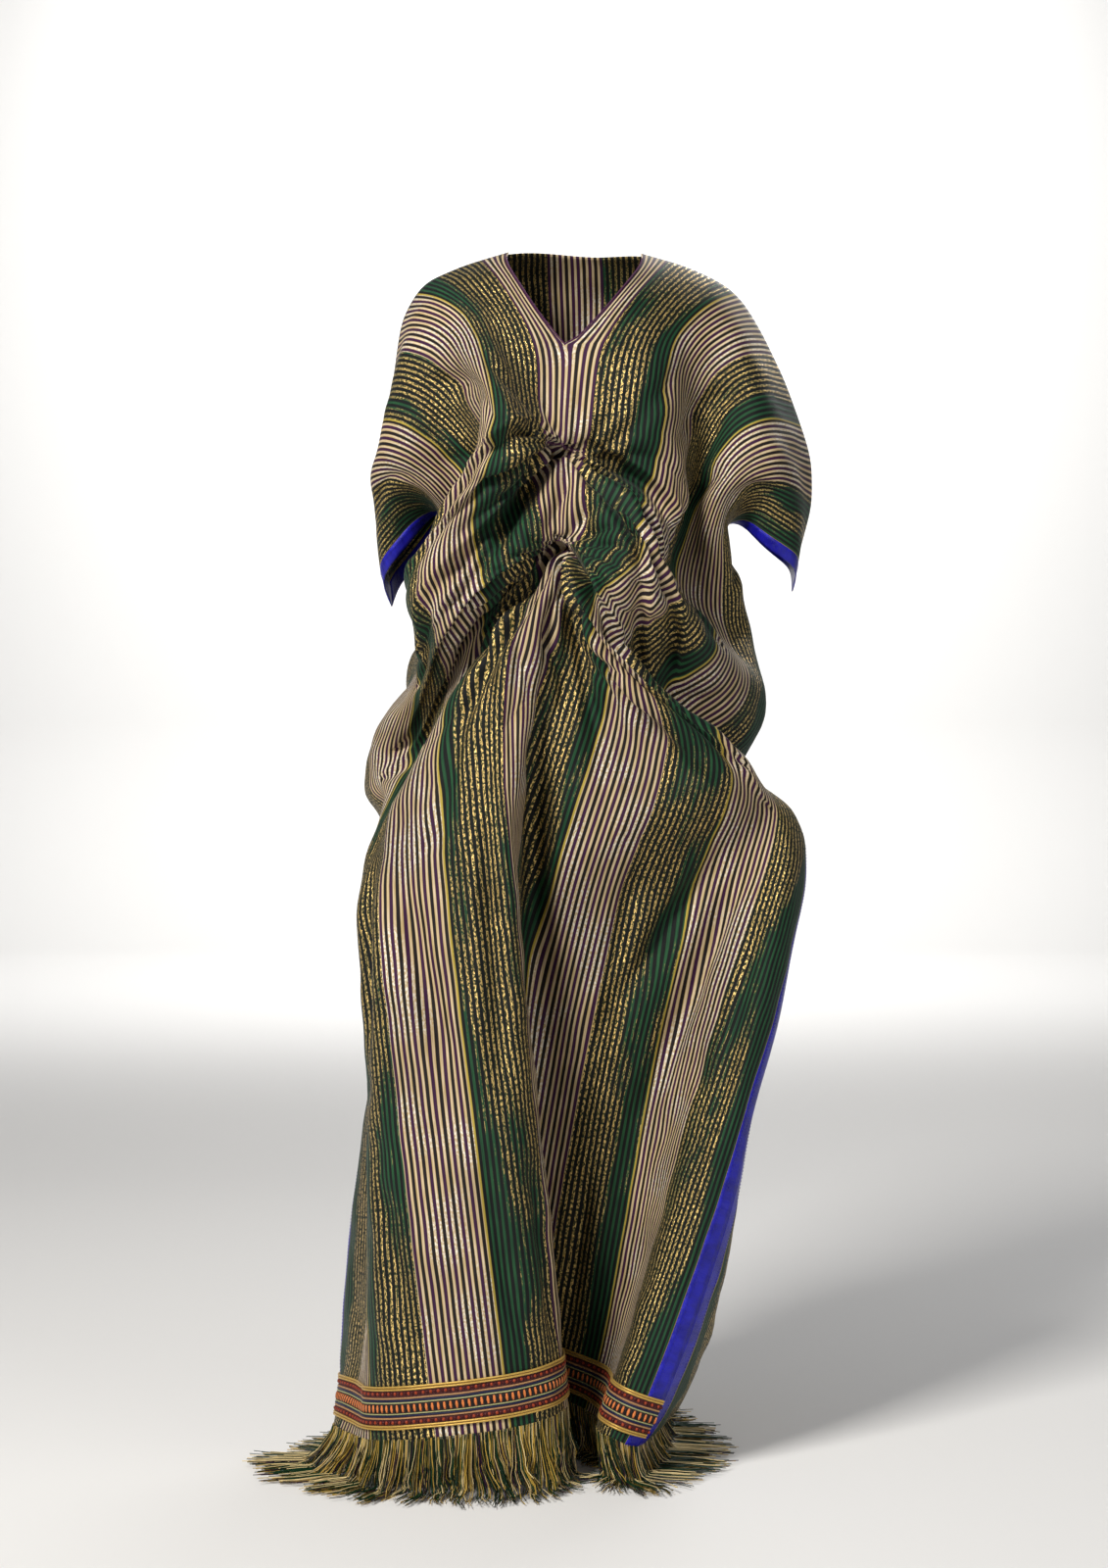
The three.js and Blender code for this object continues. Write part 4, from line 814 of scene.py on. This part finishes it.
# %% [markdown]
# ## Things that repeat along a seam
# Stitches, braid bars, beads and fringe threads all repeat along a line on the cloth. Geometry Nodes
# suits them: the line carries the outward direction of the cloth, and the tree sets one small shape at
# each step. The result is made into a plain mesh at the end.

# %% Helpers for Geometry Nodes
def new_tree(name, inputs):
    """A geometry tree with a Geometry socket and the named inputs."""
    tree = bpy.data.node_groups.new(name, "GeometryNodeTree")
    tree.interface.new_socket("Geometry", in_out="INPUT", socket_type="NodeSocketGeometry")
    for title, kind in inputs:
        tree.interface.new_socket(title, in_out="INPUT", socket_type=kind)
    tree.interface.new_socket("Geometry", in_out="OUTPUT", socket_type="NodeSocketGeometry")
    return tree, tree.nodes.new("NodeGroupInput").outputs, tree.nodes.new("NodeGroupOutput")


def finish_tree(tree, shape, material, result):
    """Realizes the instances and sets the material."""
    real = add_node(tree, "GeometryNodeRealizeInstances", {0: shape})
    smooth = add_node(tree, "GeometryNodeSetShadeSmooth", {0: real.outputs[0]})
    painted = add_node(tree, "GeometryNodeSetMaterial", {0: smooth.outputs[0], "Material": material})
    tree.links.new(painted.outputs[0], result.inputs[0])


def line_source(lines, **vectors):
    """An object of polylines that carry vector attributes at their points."""
    corners = np.concatenate(lines)
    ends = np.cumsum([len(line) for line in lines])
    edges = [(k, k + 1) for k in range(len(corners) - 1) if k + 1 not in ends]
    mesh = bpy.data.meshes.new("line")
    mesh.from_pydata([tuple(p) for p in corners], edges, [])
    for name, values in vectors.items():
        layer = mesh.attributes.new(name, "FLOAT_VECTOR", "POINT")
        layer.data.foreach_set("vector", np.concatenate(values).astype(np.float32).ravel())
    return new_piece("line", mesh)


def grow(name, source, tree, inputs):
    """The tree's result on the source as a finished piece. The source is used up."""
    modifier = source.modifiers.new("grow", "NODES")
    modifier.node_group = tree
    for item in tree.interface.items_tree:
        if item.in_out == "INPUT" and item.name in inputs:
            modifier[item.identifier] = inputs[item.name]
    bpy.context.view_layer.update()
    evaluated = source.evaluated_get(bpy.context.evaluated_depsgraph_get())
    mesh = bpy.data.meshes.new_from_object(evaluated)
    mesh.name = name
    source.modifiers.remove(modifier)
    bpy.data.objects.remove(source)
    piece = new_piece(name, mesh)
    print(name, len(mesh.polygons), "faces")
    return piece


def attribute(tree, name, kind="FLOAT_VECTOR"):
    """A value that was kept at the points under that name."""
    return add_node(tree, "GeometryNodeInputNamedAttribute", {"Name": name}, data_type=kind).outputs[0]


def keep(tree, shape, name, value, kind="FLOAT"):
    """The shape with a value kept at its points under that name."""
    values = {0: shape, "Name": name, "Value": value}
    node = add_node(tree, "GeometryNodeStoreNamedAttribute", values, data_type=kind, domain="POINT")
    return node.outputs[0]


def curves_of(tree, lines):
    """Polylines as curves."""
    return add_node(tree, "GeometryNodeMeshToCurve", {0: lines}).outputs[0]


def points_along(tree, lines, pitch):
    """A curve for each line, with a point at each step of it."""
    values = {0: curves_of(tree, lines), "Length": pitch}
    return add_node(tree, "GeometryNodeResampleCurve", values, mode="LENGTH").outputs[0]


def set_at_points(tree, points, **values):
    """A copy of a shape at each point."""
    values = {0: points, **{key.capitalize(): value for key, value in values.items()}}
    return add_node(tree, "GeometryNodeInstanceOnPoints", values).outputs[0]


def tube_along(tree, path, sides, radius):
    """A capped tube along each curve."""
    ring = add_node(tree, "GeometryNodeCurvePrimitiveCircle", {"Resolution": sides, "Radius": radius})
    values = {0: path, 1: ring.outputs[0], "Fill Caps": True}
    return add_node(tree, "GeometryNodeCurveToMesh", values).outputs[0]


# %% A row of small shapes, and a cord
def turned_on_cloth(tree):
    """A turn that lays a shape flat on the cloth, along its line."""
    tangent = add_node(tree, "GeometryNodeInputTangent").outputs[0]
    values = {0: attribute(tree, "outward"), 1: tangent}
    turn = add_node(tree, "FunctionNodeAxesToRotation", values, primary_axis="Z", secondary_axis="X")
    return turn.outputs[0]


def make_row_tree():
    """One small rounded shape at each step of a line, flat on the cloth, in two shades by turns."""
    sizes = [(title, VALUE) for title in ("Pitch", "Along", "Across", "High")]
    tree, given, result = new_tree("row_of_shapes", sizes + [("Shape Material", MATERIAL)])
    odd = calc(tree, "MODULO", add_node(tree, "GeometryNodeInputIndex").outputs[0], 2.0)
    points = keep(tree, points_along(tree, given[0], given["Pitch"]), "shade", odd)
    size = add_node(tree, "ShaderNodeCombineXYZ", {0: given["Along"], 1: given["Across"], 2: given["High"]})
    ball = add_node(tree, "GeometryNodeMeshUVSphere", {"Segments": 6, "Rings": 4, "Radius": 0.5})
    shapes = set_at_points(tree, points, instance=ball.outputs[0], scale=size.outputs[0],
                           rotation=turned_on_cloth(tree))
    finish_tree(tree, shapes, given["Shape Material"], result)
    return tree


row_tree = make_row_tree()


def make_cord_tree():
    """A round cord along each line."""
    tree, given, result = new_tree("cord", [("Radius", VALUE), ("Shape Material", MATERIAL)])
    tube = tube_along(tree, curves_of(tree, given[0]), 6, given["Radius"])
    finish_tree(tree, tube, given["Shape Material"], result)
    return tree


cord_tree = make_cord_tree()
print("trees:", row_tree.name, "and", cord_tree.name)

# %% [markdown]
# ## The braid above the hem
# The braid is a woven ribbon about 48 mm wide. Across it lie gold cords, a maroon row with red beads,
# thin rose, navy and pale lines, and a middle row of short coral and black bars, then the same again
# the other way. The ground is drawn in the material and everything raised is real geometry, because
# cords and beads show in the outline of the hem.

# %% Lines across the front
front_grid = np.concatenate([front_left[:, :-1], front_right], axis=1)
front_out = normals_of(front_grid)
back_out = normals_of(back_fine)


def across_at(grid, v):
    """The sheet's points along one row of the cut."""
    row = np.interp(v, fine_v, np.arange(len(fine_v)))
    low = min(int(row), len(fine_v) - 2)
    share = row - low
    return grid[low] * (1 - share) + grid[low + 1] * share


TRIM_LIFT, TRIM_THICK = 1.7 * MM, 1.2 * MM


def trim_line(v, lift):
    """A row of the braid, moved out from the cloth."""
    out = across_at(front_out, v)
    return across_at(front_grid, v) + out * lift, out


print("the braid is", round((TRIM_BOTTOM - TRIM_TOP) / MM), "mm wide")


# %% Braid ribbon
def braid_ground_material():
    """Flat bands of colour, the same from both edges to the middle."""
    material, tree, shader = new_material("braid_ground", Roughness=0.6)
    part = add_node(tree, "ShaderNodeSeparateXYZ", {0: cut_place(tree)})
    values = {0: part.outputs[1], 1: TRIM_TOP, 2: TRIM_BOTTOM}
    share = add_node(tree, "ShaderNodeMapRange", values).outputs[0]
    folded = calc(tree, "ABSOLUTE", calc(tree, "SUBTRACT", share, 0.5))
    colour = flat_bands(tree, calc(tree, "MULTIPLY", folded, 2.0), [
        (0.0, (0.03, 0.008, 0.006)), (0.24, (0.60, 0.55, 0.30)), (0.29, (0.012, 0.016, 0.06)),
        (0.42, (0.50, 0.24, 0.10)), (0.50, (0.075, 0.004, 0.006)), (0.86, (0.62, 0.40, 0.16)),
    ])
    fleck = noise(tree, cut_place(tree), 900)
    tree.links.new(mottled(tree, colour, fleck, 0.65, 0.3, 0.7), shader.inputs["Base Color"])
    threads = use_group(tree, weave, {0: cut_place(tree), 1: 700.0})
    bump_into(tree, shader, threads.outputs[0], 0.0006)
    return material


trim_v = np.linspace(TRIM_TOP, TRIM_BOTTOM, 13)
ribbon_grid = np.array([trim_line(v, TRIM_LIFT)[0] for v in trim_v])
ribbon = cloth_piece("hem_braid", [(ribbon_grid, front_fine_u, trim_v)], TRIM_THICK)
ribbon.data.materials.append(braid_ground_material())
print("ribbon faces", len(ribbon.data.polygons))


# %% Cords, beads and bars
def thread_material(name, first, second=None, roughness=0.45, metallic=0.0):
    """A bead or thread material, in two tones by the shade attribute where it has a second colour."""
    material, tree, shader = new_material(name, Roughness=roughness, Metallic=metallic,
                                          Sheen_Weight=0.04, Specular_IOR_Level=0.25)
    shade = add_node(tree, "ShaderNodeAttribute", attribute_name="shade").outputs["Fac"]
    place = add_node(tree, "ShaderNodeTexCoord").outputs["Object"]
    fleck = noise(tree, place, 1400, 2)
    colour = blend_colours(tree, shade, first, second or first)
    tree.links.new(mottled(tree, colour, fleck, 0.6), shader.inputs["Base Color"])
    bump_into(tree, shader, fleck, 0.0002)
    return material


bar_thread = thread_material("coral_and_black_thread", (0.92, 0.27, 0.07, 1), (0.012, 0.008, 0.010, 1))
bead_thread = thread_material("orange_bead", (0.42, 0.055, 0.015, 1), (0.085, 0.005, 0.006, 1), 0.3)
gold_cord = thread_material("gold_cord", (0.74, 0.47, 0.11, 1), roughness=0.36, metallic=0.35)
pale_thread = thread_material("pale_thread", (0.50, 0.50, 0.22, 1))
pink_thread = thread_material("rose_gold_thread", (0.60, 0.33, 0.14, 1))
navy_thread = thread_material("navy_thread", (0.010, 0.014, 0.06, 1))


def trim_rows(name, shares, tree, lift, material, **millimetres):
    """A repeated shape or a cord along rows of the braid, given as shares of its width."""
    width = TRIM_BOTTOM - TRIM_TOP
    rows_here = [trim_line(TRIM_TOP + share * width, TRIM_LIFT + lift * MM) for share in shares]
    source = line_source([line for line, _ in rows_here], outward=[out for _, out in rows_here])
    sizes = {key: size * MM for key, size in millimetres.items()}
    return grow(name, source, tree, {**sizes, "Shape Material": material})


trim_parts = [
    trim_rows("braid_bars", [0.5], row_tree, 0.3, bar_thread, Pitch=3.75, Along=3.9, Across=10.6, High=2.6),
    trim_rows("braid_beads", [0.16, 0.84], row_tree, 0.5, bead_thread,
              Pitch=4.6, Along=4.3, Across=4.6, High=3.0),
    trim_rows("braid_edge_cords", [0.0, 0.065, 0.935, 1.0], cord_tree, 0.4, gold_cord, Radius=1.3),
    trim_rows("braid_pale_lines", [0.37, 0.63], cord_tree, 0.2, pale_thread, Radius=0.75),
    trim_rows("braid_pink_lines", [0.26, 0.74], cord_tree, 0.2, pink_thread, Radius=0.85),
    trim_rows("braid_navy_lines", [0.315, 0.685], cord_tree, 0.1, navy_thread, Radius=1.0),
]

# %% [markdown]
# ## The fringe
# Below the braid the cloth's own lengthwise threads hang loose, in gold, olive, cream, purple and
# green. They fall in loose locks, sweep to the side where the skirt drags, and lie on the floor. A
# fringe could be made with hair strands, but those aren't a mesh that a library can keep. Here each
# thread is a thin tapered tube, and neighbours share a sway so that they gather into locks.

# %% Fringe tree
STRAND_POINTS = 9
# the length of a thread varies between these shares of the fringe's length
SHORTEST, LONGEST = 0.62, 1.14
# noise scales and shares of the sway, for whole locks, for strays and for single threads
LOCK_SCALE, STRAY_SCALE = 55.0, 38.0
LOCK_SHARE, STRAY_SHARE, SINGLE_SHARE = 3.3, 1.0, 0.35
# how high the threads heap on the floor, and how much thinner they get towards their ends
HEAP = 0.007
TAPER = 0.55


def scaled(tree, vector, share):
    """A vector made longer or shorter."""
    return add_node(tree, "ShaderNodeVectorMath", {0: vector, "Scale": share}, operation="SCALE").outputs[0]


def chance(tree, low, high, seed):
    """A random number for each point, the same at each run."""
    values = {"Min": low, "Max": high, "Seed": seed}
    return add_node(tree, "FunctionNodeRandomValue", values, data_type="FLOAT").outputs[1]


def to_all_sides(tree, kind, **values):
    """Noise as a drift to all sides."""
    values = {key.capitalize(): value for key, value in values.items()}
    colour = add_node(tree, kind, values).outputs[1]
    return vector_calc(tree, "SUBTRACT", colour, (0.5, 0.5, 0.5))


def hang_strands(tree, given):
    """A straight strand at each root, which keeps the root's shade and place."""
    where = add_node(tree, "GeometryNodeInputPosition").outputs[0]
    roots = points_along(tree, given[0], given["Pitch"])
    roots = keep(tree, roots, "shade", chance(tree, 0.0, 1.0, given["Seed"]))
    roots = keep(tree, roots, "root", where, "FLOAT_VECTOR")
    line = add_node(tree, "GeometryNodeCurvePrimitiveLine", {"Start": (0, 0, 0), "End": (0, 0, -1)})
    strand = add_node(tree, "GeometryNodeResampleCurve", {0: line.outputs[0], "Count": STRAND_POINTS})
    length = calc(tree, "MULTIPLY", given["Length"], chance(tree, SHORTEST, LONGEST, 5))
    size = add_node(tree, "ShaderNodeCombineXYZ", {0: 1.0, 1: 1.0, 2: length})
    hung = set_at_points(tree, roots, instance=strand.outputs[0], scale=size.outputs[0])
    return add_node(tree, "GeometryNodeRealizeInstances", {0: hung}).outputs[0]


def drift_of(tree, given):
    """How far a strand's end drifts: whole locks sway, each thread strays a little, and all sweep aside."""
    root = attribute(tree, "root")
    near = add_node(tree, "GeometryNodeInputPosition").outputs[0]
    lock = to_all_sides(tree, "ShaderNodeTexNoise", vector=root, scale=LOCK_SCALE, detail=1.0)
    stray = to_all_sides(tree, "ShaderNodeTexNoise", vector=near, scale=STRAY_SCALE, detail=1.0)
    single = to_all_sides(tree, "ShaderNodeTexWhiteNoise", vector=root)
    sway = scaled(tree, lock, LOCK_SHARE)
    for extra, share in ((stray, STRAY_SHARE), (single, SINGLE_SHARE)):
        sway = vector_calc(tree, "ADD", sway, scaled(tree, extra, share))
    flat = vector_calc(tree, "MULTIPLY", sway, (1, 1, 0.25))
    return vector_calc(tree, "ADD", scaled(tree, flat, given["Sway"]), attribute(tree, "sweep"))


def rest_on_floor(tree, strands, floor):
    """Strands that would go through the floor are laid on it, heaped a little, and run outwards."""
    near = add_node(tree, "GeometryNodeInputPosition").outputs[0]
    part = add_node(tree, "ShaderNodeSeparateXYZ", {0: near})
    low = calc(tree, "ADD", floor, calc(tree, "MULTIPLY", attribute(tree, "shade", "FLOAT"), HEAP))
    under = calc(tree, "MAXIMUM", 0.0, calc(tree, "SUBTRACT", low, part.outputs[2]))
    aside = vector_calc(tree, "MULTIPLY", scaled(tree, attribute(tree, "outward"), under), (0.9, 0.9, 0))
    lift = add_node(tree, "ShaderNodeCombineXYZ", {2: under}).outputs[0]
    return moved_by(tree, strands, vector_calc(tree, "ADD", aside, lift))


def moved_by(tree, shape, offset):
    """The shape with its points moved."""
    return add_node(tree, "GeometryNodeSetPosition", {0: shape, "Offset": offset}).outputs[0]


def make_fringe_tree():
    """Thin tapered threads that hang from a line, drift more towards their ends, and rest on the floor."""
    sizes = [(title, VALUE) for title in ("Pitch", "Length", "Radius", "Sway", "Floor")]
    tree, given, result = new_tree("fringe", sizes + [("Seed", COUNT), ("Shape Material", MATERIAL)])
    factor = add_node(tree, "GeometryNodeSplineParameter").outputs["Factor"]
    drift = scaled(tree, drift_of(tree, given), calc(tree, "POWER", factor, 1.5))
    strands = moved_by(tree, hang_strands(tree, given), drift)
    laid = rest_on_floor(tree, strands, given["Floor"])
    taper = calc(tree, "SUBTRACT", 1.0, calc(tree, "MULTIPLY", factor, TAPER))
    thin = add_node(tree, "GeometryNodeSetCurveRadius", {0: laid, "Radius": taper}).outputs[0]
    finish_tree(tree, tube_along(tree, thin, 3, given["Radius"]), given["Shape Material"], result)
    return tree


fringe_tree = make_fringe_tree()
print("fringe tree nodes:", len(fringe_tree.nodes))


# %% Colours and drift of the fringe
def fringe_material():
    """Loose threads, each in one of the cloth's colours."""
    material, tree, shader = new_material("loose_threads", Roughness=0.40, Specular_IOR_Level=0.3)
    shade = add_node(tree, "ShaderNodeAttribute", attribute_name="shade").outputs["Fac"]
    colour = flat_bands(tree, shade, [
        (0.0, (0.58, 0.37, 0.06)), (0.16, (0.010, 0.018, 0.006)), (0.38, (0.60, 0.45, 0.20)),
        (0.47, (0.028, 0.006, 0.026)), (0.58, (0.20, 0.13, 0.022)), (0.68, (0.004, 0.036, 0.012)),
        (0.93, (0.84, 0.66, 0.32)),
    ])
    tree.links.new(colour, shader.inputs["Base Color"])
    return material


loose_threads = fringe_material()
# u in the cut, then how far the threads there drift in x and in y, in millimetres
SWEEPS = np.array([
    (-0.53, -30, -8), (-0.46, -55, -14), (-0.36, -38, -10), (-0.26, -10, -12), (-0.12, 8, -10),
    (0.00, 4, 6), (0.14, -6, -10), (0.30, 22, -14), (0.42, 34, -12), (0.53, 18, -4),
])
# in millimetres
THREAD_RADIUS, THREAD_SWAY, ABOVE_FLOOR = 0.55, 26, 2


def fringe_lines(grid, out, u, shift, drop):
    """A line of fringe roots just behind the hem edge, with its directions and drifts."""
    edge = grid[-1] - out[-1] * shift * MM + np.array([0, 0, drop * MM])
    sideways = [np.interp(u, SWEEPS[:, 0], SWEEPS[:, n]) * MM for n in (1, 2)]
    sweep = np.stack(sideways + [np.zeros(len(u))], axis=1)
    level = out[-1] * np.array([1, 1, 0])
    level /= np.maximum(np.linalg.norm(level, axis=1, keepdims=True), 1e-6)
    return edge, level, sweep


def make_fringe(name, grid, out, u, layers, **choices):
    """A fringe of several layers, each given by its place behind the hem and its height over it."""
    lines = [fringe_lines(grid, out, u, shift, drop) for shift, drop in layers]
    edges, levels, sweeps = zip(*lines)
    source = line_source(edges, outward=levels, sweep=sweeps)
    return grow(name, source, fringe_tree, {
        "Radius": THREAD_RADIUS * MM, "Sway": THREAD_SWAY * MM, "Floor": FLOOR + ABOVE_FLOOR * MM,
        "Shape Material": loose_threads, **choices,
    })


fringe_front = make_fringe("fringe_front_threads", front_grid, front_out, front_fine_u,
                           [(0.2, 3), (0.7, 4), (1.1, 3)], Seed=3, Length=92 * MM, Pitch=1.25 * MM)
fringe_back = make_fringe("fringe_back_threads", back_fine, back_out, back_fine_u,
                          [(0.3, 3), (0.9, 3)], Seed=8, Length=88 * MM, Pitch=1.4 * MM)

# %% [markdown]
# ## Sewing
# The bindings are sewn down with a row of small stitches, the slash is edged with a fine plum thread,
# and each gather is held by short bars of tight stitches. A stitch is a small rounded bar on the cloth,
# so the tree that made the braid's bars and beads makes the stitches too, with sizes of its own.

# %% Stitches
satin_stitch = thread_material("blue_stitch", (0.010, 0.012, 0.30, 1), (0.016, 0.020, 0.42, 1))
plum_stitch = thread_material("plum_stitch", (0.09, 0.02, 0.07, 1), (0.12, 0.03, 0.10, 1))
STITCH_LIFT = 0.5 * MM
SEAM_INSET = 0.022
GATHER_HALF, GATHER_ROW = 0.030, 0.004


def column_line(grid, out, column, first=0, last=None):
    """A line down one column of a sheet, with its outward directions."""
    return (grid[:, column] + out[:, column] * STITCH_LIFT)[first:last], out[first:last, column]


def sew(name, lines, material, **millimetres):
    """A row of stitches along each line."""
    source = line_source([line for line, _ in lines], outward=[out for _, out in lines])
    sizes = {key: size * MM for key, size in millimetres.items()}
    return grow(name, source, row_tree, {**sizes, "Shape Material": material})


def seam_lines(grid, out, u):
    """The inner edges of both bindings of a sheet."""
    columns = [int(np.argmin(np.abs(u - side * (FULL - SEAM_INSET)))) for side in (-1, 1)]
    return [column_line(grid, out, column) for column in columns]


def gather_bar(v):
    """A short line across the gather."""
    line, out = across_at(front_grid, v), across_at(front_out, v)
    near = np.abs(front_fine_u) < GATHER_HALF
    return line[near] + out[near] * STITCH_LIFT, out[near]


binding_seams = seam_lines(front_grid, front_out, front_fine_u)
binding_seams += seam_lines(back_fine, back_out, back_fine_u)
slash_lines = [
    column_line(front_left, normals_of(front_left), -1, 2, SLASH_END + 1),
    column_line(front_right, normals_of(front_right), 0, 2, SLASH_END + 1),
]
gather_bars = [gather_bar(g["v"] + d) for g in GATHERS for d in (-GATHER_ROW, GATHER_ROW)]
stitch_parts = [
    sew("binding_stitches", binding_seams, satin_stitch, Pitch=4.2, Along=3.0, Across=0.7, High=0.7),
    sew("neck_edge_thread", slash_lines, plum_stitch, Pitch=1.7, Along=2.3, Across=2.2, High=2.2),
    sew("gather_stitches", gather_bars, plum_stitch, Pitch=1.3, Along=0.9, Across=3.4, High=1.2),
]

# %% [markdown]
# ## Floor, light and camera
# The dress hangs upright with its hem just above a pale floor. The camera stands level and far back,
# as for a full-length picture, and the main soft light comes from the front left. The floor turns up
# into the wall behind in one sheet, so no edge shows there. The lights are hidden from the camera.

# %% Studio
WIDE, WALL, COVE, CEILING = 12, 7.8, 0.8, 9
CAMERA_TARGET, CAMERA_LENS, VIEW_HEIGHT = (-0.018, 0, -0.662), 70, 1.968


def make_studio():
    """A floor that turns up into a wall behind the dress."""
    corners = [
        (-WIDE, -WIDE, FLOOR), (WIDE, -WIDE, FLOOR),
        (WIDE, WALL - COVE, FLOOR), (-WIDE, WALL - COVE, FLOOR),
        (WIDE, WALL, FLOOR + COVE), (-WIDE, WALL, FLOOR + COVE),
        (WIDE, WALL, FLOOR + CEILING), (-WIDE, WALL, FLOOR + CEILING),
    ]
    mesh = bpy.data.meshes.new("studio_floor")
    mesh.from_pydata(corners, [], [(0, 1, 2, 3), (3, 2, 4, 5), (5, 4, 6, 7)])
    mesh.shade_smooth()
    pale_floor = new_material("pale_floor", Base_Color=(0.78, 0.77, 0.75, 1), Roughness=0.8)[0]
    new_piece("studio_floor", mesh, pale_floor)


def place_in_scene(name, data):
    """An object for a light or a camera."""
    holder = bpy.data.objects.new(name, data)
    bpy.context.scene.collection.objects.link(holder)
    return holder


def look_along(holder, direction):
    """Turns a light or a camera so that it looks that way."""
    holder.rotation_euler = direction.to_track_quat("-Z", "Y").to_euler()


def add_light(name, place, target, size, energy, colour=(1, 1, 1)):
    """A soft square light that the camera doesn't see."""
    light = bpy.data.lights.new(name, "AREA")
    light.size, light.energy, light.color = size, energy, colour
    holder = place_in_scene(name, light)
    holder.location = place
    holder.visible_camera = False
    look_along(holder, Vector(target) - Vector(place))


def add_camera():
    """A level camera as far back as its lens needs to see the whole dress."""
    camera = bpy.data.cameras.new("camera")
    camera.lens = CAMERA_LENS
    holder = place_in_scene("camera", camera)
    distance = VIEW_HEIGHT / 2 / (camera.sensor_width / 2 / camera.lens)
    elevation = math.radians(2)
    back_off = Vector((0, -math.cos(elevation), math.sin(elevation)))
    holder.location = Vector(CAMERA_TARGET) + back_off * distance
    look_along(holder, -back_off)
    bpy.context.scene.camera = holder
    print("the camera stands", round(distance, 2), "m away")


def add_world(colour, strength):
    """A weak even light from all sides."""
    world = bpy.data.worlds.new("studio")
    world.use_nodes = True
    background = world.node_tree.nodes["Background"]
    background.inputs[0].default_value = colour
    background.inputs[1].default_value = strength
    bpy.context.scene.world = world


make_studio()
add_light("key", (-1.7, -2.6, 1.7), (0, 0, -0.7), 1.0, 165, (1, 0.98, 0.95))
add_light("fill", (2.6, -2.2, 0.0), (0, 0, -0.7), 2.4, 15)
add_light("backdrop", (0, 5.4, 1.8), (0, 7.8, -0.6), 3.5, 175)
add_light("rim", (1.2, 2.2, 1.4), (0, 0, -0.5), 1.5, 40)
add_world((0.92, 0.94, 1, 1), 0.17)
bpy.context.scene.view_settings.view_transform = "Standard"
add_camera()

# %% [markdown]
# ## What carries what
# Nothing on this dress moves against anything else, so every piece rides on its one body. Each piece
# of cloth stands for the solid it was made from.


def attach(slot, *parts):
    """Parts that ride on the one body."""
    for part in parts:
        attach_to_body(part, "root")


attach("striped_cloth", front_cloth, back_cloth)
attach("blue_satin", *binding_pieces.values())
attach("braid", ribbon, *trim_parts)
attach("fringe", fringe_front, fringe_back)
attach("striped_cloth", *stitch_parts)
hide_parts("front_panel")
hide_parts("back_panel")
for name, piece in binding_pieces.items():
    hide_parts(f"binding_{name}")
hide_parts("hem_trim")
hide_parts("fringe_front")
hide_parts("fringe_back")
print("sheets:", front_cloth.name, "and", back_cloth.name)
